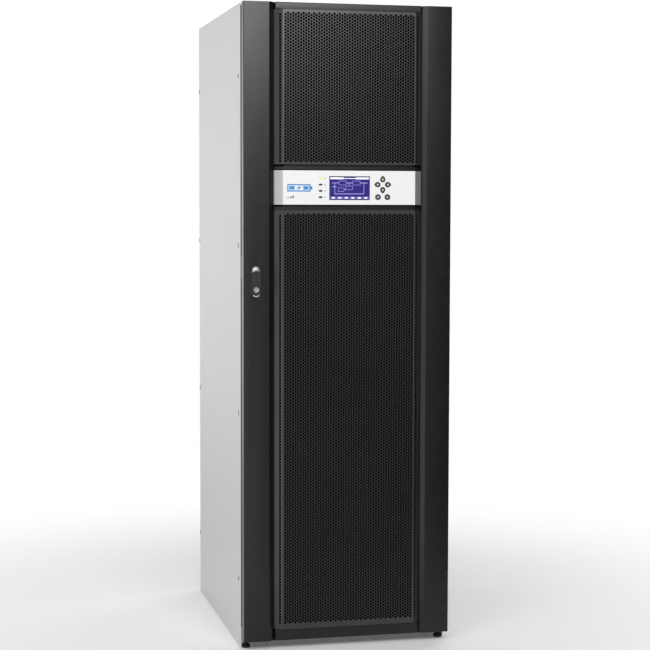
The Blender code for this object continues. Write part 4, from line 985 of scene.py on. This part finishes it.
def makeLatch():
    # Back plate on the pillar, a lifting grip with a tongue over the boss, and a key barrel in the grip.
    plateLow, plateHigh = corners("latch_plate")
    handleLow, handleHigh = corners("latch_handle")
    spindleLow, spindleHigh = corners("latch_spindle")
    lift, keyAt = jointAt("handle_lift"), jointAt("key_turn")
    middle = lift[0]
    halfPlate = (plateHigh[0] - plateLow[0]) / 2
    outline = roundRect((plateLow[0], plateLow[2]), (plateHigh[0], plateHigh[2]), halfPlate - 0.0001, 12)
    back = putPiece("latch_back_plate", *plate(outline, plateLow[1], plateHigh[1]), blackPlastic, "door",
                    stands=("latch_plate",), slot="zinc_alloy")
    bore = circle((middle, lift[2]), latch["bore"])
    carve(back, plate(bore, plateLow[1] - cutReach, plateHigh[1] + cutReach))

    # handle: a tongue whose rounded top lies over the boss, between two cheeks
    half, top, boss = (handleHigh[0] - handleLow[0]) / 2, handleHigh[2], latch["bossRadius"]
    bossAt = lift[2] - latch["bossDrop"]
    arc = np.linspace(math.pi, math.tau, 25)
    tip = np.stack([middle + half * np.cos(arc), handleLow[2] + half + half * np.sin(arc)], 1)
    clear = boss + latch["clearance"]
    bowl = -np.linspace(0, math.pi, 33)
    bowl = np.stack([middle + clear * np.cos(bowl), bossAt + clear * np.sin(bowl)], 1)
    cheek = half - clear
    corner = cheek * 0.3
    rightCheek = [[middle + half, top - corner], [middle + half - corner, top], [middle + clear, top]]
    leftCheek = [[middle - clear, top], [middle - half + corner, top], [middle - half, top - corner]]
    outline = np.concatenate([tip, rightCheek, bowl, leftCheek])
    grip = putPiece("latch_grip", *plate(outline, handleLow[1], handleHigh[1]), blackGloss, "latch_handle",
                    stands=("latch_handle",), slot="black_paint", bevel=min(latch["gripBevel"], cheek * 0.4),
                    segments=4)
    hole = circle((middle, keyAt[2]), latch["keyRadius"] + latch["keyGap"])
    carve(grip, plate(hole, handleLow[1] - cutReach, handleHigh[1] + cutReach))
    crown, wide = np.linspace(math.radians(5), math.radians(175), 25), boss * latch["wide"]
    crown = np.stack([middle + wide * np.cos(crown),
                      bossAt - latch["crownDrop"] + boss * latch["crownTall"] * np.sin(crown)], 1)
    foot = bossAt - clear - latch["tongueFoot"]
    tongue = np.concatenate([crown, [[middle - wide, foot], [middle + wide, foot]]])
    shape = plate(tongue, handleLow[1] + latch["tongueFront"], handleLow[1] + latch["tongueRear"])
    putPiece("latch_tongue", *shape, blackGloss, "latch_handle", slot="black_paint",
             bevel=latch["tongueBevel"], segments=3)
    # a thin crescent of bright zinc on the grip's front, cut to the shape of the reflection at the handle's
    # lower edge: a painted highlight
    turn, radius = np.linspace(math.radians(215), math.radians(325), 25), latch["lipRadius"]
    across = middle + radius * np.cos(turn)
    outer = np.stack([across, handleLow[2] + latch["lipUp"] + radius * np.sin(turn)], 1)
    inner = np.stack([across, handleLow[2] + latch["lipInnerUp"] + latch["lipInner"] * np.sin(turn)], 1)[::-1]
    shape = plate(np.concatenate([outer, inner[1:-1]]), handleLow[1] - latch["lipProud"],
                  handleLow[1] + latch["lipRear"])
    putPiece("latch_finger_lip", *shape, zincCast, "latch_handle", slot="zinc_alloy")

    # boss on the spindle: a shallow dome whose height falls with the square of the radius
    t = np.linspace(0, 1, 12)
    rear = handleHigh[1] - latch["edge"]
    dome = np.stack([t * boss, lift[1] - latch["bossRise"] + latch["domeFall"] * t ** 2], 1)
    cap = turned(np.concatenate([dome, [[boss, rear], [0, rear]]]), (middle, 0, bossAt), "Y", 40)
    rear, radius = spindleHigh[1] - latch["camThick"], latch["shaft"]
    profile = [(0, lift[1]), (radius, lift[1]), (radius, rear), (0, rear)]
    shaft = turned(profile, (middle, 0, lift[2]), "Y", 28)
    putPiece("latch_boss", *joined(cap, shaft), zincSatin, "latch_spindle", stands=("latch_spindle",),
             slot="zinc_alloy")
    half = latch["camHalf"]
    cam = roundRect((middle - half, spindleLow[2]), (middle + half, lift[2] + half), latch["camCorner"])
    putPiece("latch_cam", *plate(cam, rear, spindleHigh[1]), darkSteel, "latch_spindle", slot="zinc_alloy",
             bevel=latch["edge"])
    nut = plate(circle((middle, lift[2]), latch["nut"], 6), spindleHigh[1] - latch["nutFront"],
                spindleHigh[1] - latch["nutRear"])
    putPiece("latch_nut", *nut, zincCast, "latch_spindle", slot="zinc_alloy", bevel=latch["edge"])

    face = corners("key_cylinder")[0][1]
    profile = [(r * latch["keyRadius"], face + y) for r, y in barrel]
    lock = putPiece("key_barrel", *turned(profile, (keyAt[0], 0, keyAt[2]), "Y", 40), zincSatin, "latch_key",
                    stands=("key_cylinder",), slot="zinc_alloy")
    wide, tall = latch["slotWide"], latch["slotTall"]
    slot = roundRect((middle - wide, keyAt[2] - tall), (middle + wide, keyAt[2] + tall), latch["slotCorner"])
    carve(lock, plate(slot, face - 0.001, face + latch["slotDepth"]))


makeLatch()
print("latch made")


shell = dict(
    sheet=0.0015, bend=0.0030, lip=0.020, screwRadius=0.0078, screwHeights=(0.194, 0.6695, 1.145, 1.6205),
    screwFront=0.082, screwRear=0.009, screwOut=0.0006, screwFall=0.0003, screwDeep=0.0009, slotHalf=0.0032,
    slotWide=0.0005, slotTop=0.001, slotFoot=0.0002, toeNear=0.0021, toeFar=0.03, toeFront=0.001,
    toeDeep=0.0035, toeTop=0.0532)
rear = dict(span=0.400, lower=(0.16, 0.50), upper=(1.16, 1.70), seam=0.84, pitch=0.0120, hole=0.0040,
            screwRadius=0.0045, screwInset=0.012, screwHeights=(0.05, 0.48, 0.91, 1.34, 1.77))
gland = dict(screwRadius=0.004, inset=0.018, knock=(-0.09, -0.03, 0.03, 0.09),
             ring=((0.0195, 0.0005), (0.0205, 0.0005), (0.0209, -0.0002), (0.0191, -0.0002),
                   (0.0195, 0.0005)))
seal = dict(outer=0.0006, inner=0.0170, left=0.0060, right=0.0010, gap=0.0001, foot=0.060, head=0.004,
            bevel=0.0004)


def capHead(radius, face, tall, side):
    # Profile of a low screw head: its face, a sloping edge and the part that is sunk.
    return [(0, face + tall), (radius * 0.8, face + tall), (radius, face + side), (radius, face - 0.0004),
            (0, face - 0.0004)]


def makeSidePanels():
    # Folded sides with a toe cut-out at the front foot and slotted screws in two columns.
    for side, node in ((-1, "left_side_panel"), (1, "right_side_panel")):
        low, high = corners(node)
        edge, lip = -halfWidth, shell["lip"] - halfWidth
        path = [(lip, low[1]), (edge, low[1]), (edge, high[1]), (lip, high[1])]
        if side > 0:
            path = [(-x, y) for x, y in reversed(path)]
        skin = putPiece(node + "_skin", *bentSheet(path, shell["bend"], shell["sheet"], low[2], high[2]),
                        greyPaint, "cabinet", stands=(node,), slot="grey_paint")
        x = sorted((side * (halfWidth - shell["toeNear"]), side * (halfWidth - shell["toeFar"])))
        front, back = low[1] - shell["toeFront"], low[1] + shell["toeDeep"]
        carve(skin, blocks([[(x[0], front, -cutReach), (x[1], back, shell["toeTop"])]]))
        places = [(y, z) for y in (faceY + shell["screwFront"], cabinetBack - shell["screwRear"])
                  for z in shell["screwHeights"]]
        r, out = shell["screwRadius"], side * (halfWidth + shell["screwOut"])
        edge, sunk = out - side * shell["screwFall"], out - side * shell["screwDeep"]
        profile = [(0, out), (r * 0.8, out), (r, edge), (r, sunk), (0, sunk)]
        piece = putPiece(node + "_screws", *joined(*[turned(profile, (0, y, z), "X", 24) for y, z in places]),
                         darkSteel, "cabinet", slot="galvanised_steel")
        x = sorted((side * (halfWidth + shell["slotTop"]), side * (halfWidth + shell["slotFoot"])))
        half, wide = shell["slotHalf"], shell["slotWide"]
        carve(piece, blocks([[(x[0], y - half, z - wide), (x[1], y + half, z + wide)] for y, z in places]))


def makeRearPanel():
    # Flat rear panel with two fields of staggered vent holes.
    low, high = corners("rear_panel")
    section = np.array([(low[0], high[1]), (high[0], high[1])])
    width = high[0] - low[0]
    fields = [((width - rear["span"]) / 2, (width + rear["span"]) / 2)]
    common = dict(thickness=shell["sheet"], pitch=rear["pitch"], hole=rear["hole"], material=greyPaint,
                  body="cabinet", stands=("rear_panel",), slot="grey_paint")
    perforated(("rear_panel_lower",), section, fields, *rear["lower"], low[2], rear["seam"], **common)
    perforated(("rear_panel_upper",), section, fields, *rear["upper"], rear["seam"], high[2], **common)
    head, across = capHead(rear["screwRadius"], high[1], 0.0006, 0.0003), width / 2 - rear["screwInset"]
    screws = [turned(head, (side * across, 0, z), "Y", 24) for side in (-1, 1) for z in rear["screwHeights"]]
    putPiece("rear_panel_screws", *joined(*screws), darkSteel, "cabinet", slot="galvanised_steel")


def makeCoverDetails():
    # Screws and four punched rings for cable entries on the plate in the top cover.
    low, high = corners("top_gland_plate")
    head, inset = capHead(gland["screwRadius"], high[2], 0.0012, 0.0008), gland["inset"]
    screws = [turned(head, (x, y, 0), "Z", 24) for x in (low[0] + inset, 0.0, high[0] - inset)
              for y in (low[1] + inset, high[1] - inset)]
    putPiece("gland_plate_screws", *joined(*screws), zincCast, "cabinet", slot="galvanised_steel")
    ring = [(r, high[2] + up) for r, up in gland["ring"]]
    knock = [turned(ring, (x, (low[1] + high[1]) / 2, 0), "Z", 48) for x in gland["knock"]]
    putPiece("gland_knockouts", *joined(*knock), greyPaint, "cabinet", slot="grey_paint")


def makeDoorSeal():
    # Black rubber seal on the front lips of the side panels; its black also stands for the shade in the gap
    # between side panel and door, as painted shade.
    boxes = []
    for side, name in ((-1, "left"), (1, "right")):
        low, high = corners(name + "_side_panel")
        x = sorted((side * (halfWidth - seal["outer"]), side * (halfWidth - seal["inner"])))
        boxes.append([(x[0], low[1] - seal[name], seal["foot"]),
                      (x[1], low[1] - seal["gap"], high[2] - seal["head"])])
    putPiece("door_seal", *blocks(boxes), blackPlastic, "cabinet", slot="filter_foam", bevel=seal["bevel"])


makeDoorSeal()
makeSidePanels()
makeRearPanel()
makeCoverDetails()
print("enclosure made")


fitting = dict(
    wire=0.0011, rings=(0.026, 0.040, 0.054, 0.068), frameIn=0.0738, frameOut=0.0790, guardProud=0.0014,
    spokeBack=0.0006, handleX=0.175, handleHalf=0.052, handleOut=0.022, handleWire=0.0048, handleBend=0.012,
    slats=15, slatPitch=0.0085, slatReach=(0.092, 0.152), screw=0.0034, screwInset=0.016, fanScrew=0.066,
    slat=((0, -0.0022), (-0.0032, -0.0022), (-0.0036, -0.0014), (0, 0.0022)),
    rim=((0, -0.0001), (0, -0.0022), (1, -0.0022), (1, -0.0001), (0, -0.0001)),
    lamp=((0, -0.0018), (0.0020, -0.0014), (0.0026, -0.0004), (0.0026, 0.0004), (0, 0.0004)),
    lampAt=(0.046, -0.024), cardLow=(0.062, -0.033), cardHigh=(0.122, -0.015), cardCorner=0.002)
pack = dict(
    recess=0.012, card=(0.045, 0.045, 0.088), cardCorner=0.003, poleAcross=0.062, poleDown=0.034, ribs=15,
    ribSpan=0.07, ribHalf=0.0016, ribProud=0.0018, ribTall=(0.012, 0.036), screw=0.0028, screwInset=0.011,
    shroud=((0.0062, 0.0003), (0.0062, -0.0090), (0.0072, -0.0100), (0.0100, -0.0100), (0.0110, -0.0090),
            (0.0118, 0.0003), (0.0062, 0.0003)),
    pin=((0, -0.0070), (0.0030, -0.0070), (0.0036, -0.0062), (0.0036, 0.0003), (0, 0.0003)))
breaker = dict(clamps=(-0.026, 0.0, 0.026), clampInset=0.012, clamp=0.0044, card=(0.020, 0.022, 0.032),
               cardCorner=0.0015, screwInset=0.012)


def screwHeads(places, front, radius):
    # Domed heads standing on a face that looks to the front.
    profile = [(0, -0.0011), (0.45, -0.0010), (0.85, -0.0006), (1.0, 0.0), (1.0, 0.0003), (0, 0.0003)]
    profile = [(r * radius, front + y) for r, y in profile]
    return joined(*[turned(profile, (x, 0, z), "Y", 16) for x, z in places])


def wireRing(radius, centre, front, wire, sides=8):
    around = np.linspace(0, math.tau, sides + 1)
    profile = np.stack([radius + wire * np.cos(around), front + wire * np.sin(around)], 1)
    return turned(profile, centre, "Y", 48)


def atFace(profile, front):
    return [(r, front + y) for r, y in profile]


def blankCard(name, outline, front, proud=0.0005):
    putPiece(name, *plate(outline, front - proud, front + 0.0002), paperPale, "cabinet", slot="silver_paint")


def makeModuleFronts():
    # Each power module gets a wire guard, a frame round the fan, louvres, handles, screws, a lamp and a card.
    for node in ("power_module_1", "power_module_2"):
        low, high = corners(node)
        front, middle = low[1], (low[2] + high[2]) / 2
        guardAt, centre = front - fitting["guardProud"], (0, 0, middle)
        shapes = [wireRing(radius, centre, guardAt, fitting["wire"]) for radius in fitting["rings"]]
        reach = np.linspace(fitting["rings"][0], fitting["frameIn"] + 0.001, 6)
        for turn in (45, 135, 225, 315):
            c, d = math.cos(math.radians(turn)), math.sin(math.radians(turn))
            path = np.stack([reach * c, np.full(6, guardAt - fitting["spokeBack"]), middle + reach * d], 1)
            shapes.append(tube(path, fitting["wire"], 8))
        putPiece(node + "_guard", *joined(*shapes), zincCast, "cabinet", slot="zinc_alloy")
        rim = [((fitting["frameIn"], fitting["frameOut"])[outer], front + y) for outer, y in fitting["rim"]]
        putPiece(node + "_fan_frame", *turned(rim, centre, "Y", 64), blackPlastic, "cabinet",
                 slot="dark_plastic")
        slats, handles, count = [], [], fitting["slats"]
        for side in (-1, 1):
            x0, x1 = sorted(side * reach for reach in fitting["slatReach"])
            for z in middle + (np.arange(count) - (count - 1) / 2) * fitting["slatPitch"]:
                slats.append(plate([(front + y, z + up) for y, up in fitting["slat"]], x0, x1, "X"))
            half, out = fitting["handleHalf"], front - fitting["handleOut"]
            path = [(front + 0.001, middle - half), (out, middle - half), (out, middle + half),
                    (front + 0.001, middle + half)]
            bent = rounded(path, fitting["handleBend"], 8)
            bow = np.column_stack([np.full(len(bent), side * fitting["handleX"]), bent])
            handles.append(tube(bow, fitting["handleWire"], 14))
        putPiece(node + "_louvres", *joined(*slats), casePlastic, "cabinet", slot="dark_plastic")
        putPiece(node + "_handles", *joined(*handles), zincCast, "cabinet", slot="zinc_alloy")
        edge, off = fitting["screwInset"], fitting["fanScrew"]
        heads = [(x, z) for x in (low[0] + edge, high[0] - edge) for z in (low[2] + edge, high[2] - edge)]
        heads += [(side * off, middle + up * off) for side in (-1, 1) for up in (-1, 1)]
        putPiece(node + "_screws", *screwHeads(heads, front, fitting["screw"]), zincCast, "cabinet",
                 slot="zinc_alloy")
        across, up = fitting["lampAt"]
        lamp = turned(atFace(fitting["lamp"], front), (low[0] + across, 0, high[2] + up), "Y", 20)
        putPiece(node + "_lamp", *lamp, lampGreen, "cabinet", slot="screen_plastic")
        spots = [(low[0] + x, high[2] + z) for x, z in (fitting["cardLow"], fitting["cardHigh"])]
        blankCard(node + "_card", roundRect(*spots, fitting["cardCorner"]), front)


def makePackFronts():
    # Each battery pack gets a blank card, two shrouded terminals, ribs and corner screws.
    for index in range(1, 7):
        node = "battery_pack_" + str(index)
        low, high = corners(node)
        front, middle = low[1] + pack["recess"], (low[0] + high[0]) / 2
        half, foot, head = pack["card"]
        blankCard(node + "_card", roundRect((middle - half, low[2] + foot), (middle + half, low[2] + head),
                                            pack["cardCorner"]), front)
        for side, paint, name in ((-1, redPlastic, "positive"), (1, blackPlastic, "negative")):
            pole = (middle + side * pack["poleAcross"], 0, high[2] - pack["poleDown"])
            putPiece(node + "_" + name, *turned(atFace(pack["shroud"], front), pole, "Y", 28), paint,
                     "cabinet", slot="dark_plastic")
            putPiece(node + "_" + name + "_pin", *turned(atFace(pack["pin"], front), pole, "Y", 20), copper,
                     "cabinet", slot="zinc_alloy")
        half, (foot, head) = pack["ribHalf"], pack["ribTall"]
        out = front - pack["ribProud"]
        ribs = [[(x - half, out, low[2] + foot), (x + half, front + 0.0003, low[2] + head)]
                for x in middle + np.linspace(-pack["ribSpan"], pack["ribSpan"], pack["ribs"])]
        putPiece(node + "_ribs", *blocks(ribs), packPlastic, "cabinet", slot="dark_plastic", bevel=0.0004)
        edge = pack["screwInset"]
        heads = [(x, z) for x in (low[0] + edge, high[0] - edge) for z in (low[2] + edge, high[2] - edge)]
        putPiece(node + "_screws", *screwHeads(heads, front, pack["screw"]), zincCast, "cabinet",
                 slot="zinc_alloy")


def makeBreakerFronts():
    # Clamp screws above and below each breaker's lever, a blank card, and screws round the panel.
    panelLow, panelHigh = corners("breaker_panel")
    half, foot, head = breaker["card"]
    for index in (1, 2):
        low, high = corners("breaker_" + str(index))
        front, middle = low[1], (low[0] + high[0]) / 2
        clamps = [(middle + x, z) for z in (low[2] + breaker["clampInset"], high[2] - breaker["clampInset"])
                  for x in breaker["clamps"]]
        putPiece("breaker_clamps_" + str(index), *screwHeads(clamps, front, breaker["clamp"]), zincCast,
                 "cabinet", slot="zinc_alloy")
        window = roundRect((middle - half, low[2] + foot), (middle + half, low[2] + head),
                           breaker["cardCorner"])
        blankCard("breaker_card_" + str(index), window, front, 0.0004)
    edge = breaker["screwInset"]
    heads = [(x, z) for x in (panelLow[0] + edge, 0.0, panelHigh[0] - edge)
             for z in (panelLow[2] + edge, panelHigh[2] - edge)]
    putPiece("breaker_panel_screws", *screwHeads(heads, panelLow[1], fitting["screw"]), zincCast, "cabinet",
             slot="zinc_alloy")


makeModuleFronts()
makePackFronts()
makeBreakerFronts()
print("equipment fronts made")


keptFinish = {
    "top_cover": shadedTopPaint, "top_gland_plate": shadedTopPaint, "base_plate": blackPaint, "kick_strip": stripPaint,
    "post_": zincSheet, "hinge_bracket_": darkSteel, "strike_plate": darkSteel, "battery_shelf_": zincSheet,
    "battery_pack_": packPlastic, "breaker_panel": greyPaint, "breaker_lever_": greenPlastic,
    "breaker_": casePlastic, "power_module_": casePlastic, "fan_rotor_": blackPlastic, "foot_": footRubber,
    "upper_air_filter": filterFoam, "lower_air_filter": filterFoam, "display_board": casePlastic,
}


def finishKeptNodes():
    # Solids that no piece stands for keep their shape and get a finish by the start of their name.
    for node, piece in frame["nodes"].items():
        if piece.hide_render:
            continue
        start = next(name for name in keptFinish if node.startswith(name))
        piece.data.materials.clear()
        piece.data.materials.append(keptFinish[start])


finishKeptNodes()


light = dict(sky=0.05, back=1.40, left=0.60, below=1.3, key=34.0, front=52.0, far=45.0, floorEdge=2.2,
             rings=40, spokes=96, fadeStart=0.22, fadeEnd=0.97)


def addStage():
    # A round floor whose paper fades out towards its edge, so that it meets the backdrop softly.
    rings, spokes = light["rings"], light["spokes"]
    radius = np.linspace(0.02, light["floorEdge"], rings)[:, None]
    angle = np.linspace(0, math.tau, spokes, endpoint=False)[None]
    points = np.stack([radius * np.cos(angle), radius * np.sin(angle), np.zeros((rings, spokes))], -1)
    row, i = np.arange(rings - 1)[:, None] * spokes, np.arange(spokes)[None]
    j = (i + 1) % spokes
    quads = np.stack([row + i, row + j, row + spokes + j, row + spokes + i], -1).reshape(-1, 4)
    paper = Paint("floor_paper", Roughness=0.8, Emission_Color=(1.0, 1.0, 1.0), Emission_Strength=0.12)
    away = paper.add("ShaderNodeVectorMath", {"operation": "LENGTH"}, {0: paper.place}, "Value")
    fade = paper.add("ShaderNodeMapRange", {"interpolation_type": "SMOOTHSTEP"},
                     {0: away, 1: light["floorEdge"] * light["fadeStart"],
                      2: light["floorEdge"] * light["fadeEnd"], 3: 1.0, 4: 0.0})
    paper.put(paper.shader.inputs["Alpha"], fade)
    tone = paper.mix((0.93, 0.93, 0.93), (0.96, 0.96, 0.96), paper.noise(6.0, 3.0))
    middle = np.arange(spokes)[None, ::-1]
    floor = putPiece("floor", points.reshape(-1, 3), [quads, middle], paper.finish(tone), None)


def addLight(name, place, aim, power, size):
    # A rectangle of light that the camera does not see.
    data = bpy.data.lights.new(name, "AREA")
    data.energy = power
    data.shape = "RECTANGLE"
    data.size, data.size_y = size
    lamp = bpy.data.objects.new(name, data)
    lamp.location = place
    lamp.rotation_euler = (Vector(aim) - Vector(place)).to_track_quat("-Z", "Y").to_euler()
    lamp.visible_camera = False
    bpy.context.scene.collection.objects.link(lamp)


def addSky():
    # White backdrop; the light that the sky gives is brighter behind, and to the left in front.
    world = bpy.data.worlds.new("studio")
    world.use_nodes = True
    bpy.context.scene.world = world
    tree = world.node_tree

    def add(kind, **inputs):
        node = tree.nodes.new(kind)
        for name, value in inputs.items():
            socket = node.inputs[int(name[1:])]
            if isinstance(value, bpy.types.NodeSocket):
                tree.links.new(value, socket)
            else:
                socket.default_value = value
        return node

    def soft(value, start, end):
        node = add("ShaderNodeMapRange", i0=value, i1=start, i2=end, i3=0.0, i4=1.0)
        node.interpolation_type = "SMOOTHSTEP"
        return node.outputs[0]

    def sums(operation, a, b):
        node = add("ShaderNodeMath", i0=a, i1=b)
        node.operation = operation
        return node.outputs[0]

    parts = add("ShaderNodeSeparateXYZ", i0=add("ShaderNodeTexCoord").outputs["Generated"]).outputs
    level = sums("MULTIPLY", sums("SUBTRACT", 1.0, sums("MULTIPLY", soft(parts[2], -0.02, -0.25), 0.72)),
                 sums("SUBTRACT", 1.0, sums("MULTIPLY", soft(parts[2], 0.0, 0.26), 0.60)))
    level = sums("MULTIPLY", level, soft(parts[0], 0.80, 0.20))
    total = sums("MULTIPLY", sums("MULTIPLY", soft(parts[1], -0.05, 0.35), level), light["back"])
    ahead = sums("MULTIPLY", soft(parts[1], 0.0, -0.30), soft(parts[0], 0.24, 0.08))
    below = sums("ADD", 1.0, sums("MULTIPLY", soft(parts[2], 0.02, -0.10), light["below"]))
    total = sums("ADD", total, sums("MULTIPLY", sums("MULTIPLY", ahead, below), light["left"]))
    total = sums("ADD", total, light["sky"])
    seen = add("ShaderNodeLightPath").outputs["Is Camera Ray"]
    strength = add("ShaderNodeMapRange", i0=seen, i1=0.0, i2=1.0, i3=total, i4=1.0).outputs[0]
    back = tree.nodes["Background"]
    back.inputs["Color"].default_value = (1.0, 1.0, 1.0, 1.0)
    tree.links.new(strength, back.inputs["Strength"])


addStage()
addSky()
addLight("key", (-2.6, -3.4, 3.0), (0, 0, 1.0), light["key"], (1.8, 1.8))
addLight("front", (-0.10, -3.4, 2.50), (-0.10, 0, 1.5), light["front"], (1.7, 1.1))
addLight("far", (3.0, 2.6, 2.6), (0.2, 0.2, 1.0), light["far"], (2.2, 2.2))
bpy.context.scene.view_settings.view_transform = "Standard"
bpy.context.scene.view_settings.look = "None"
print("stage and lights set")
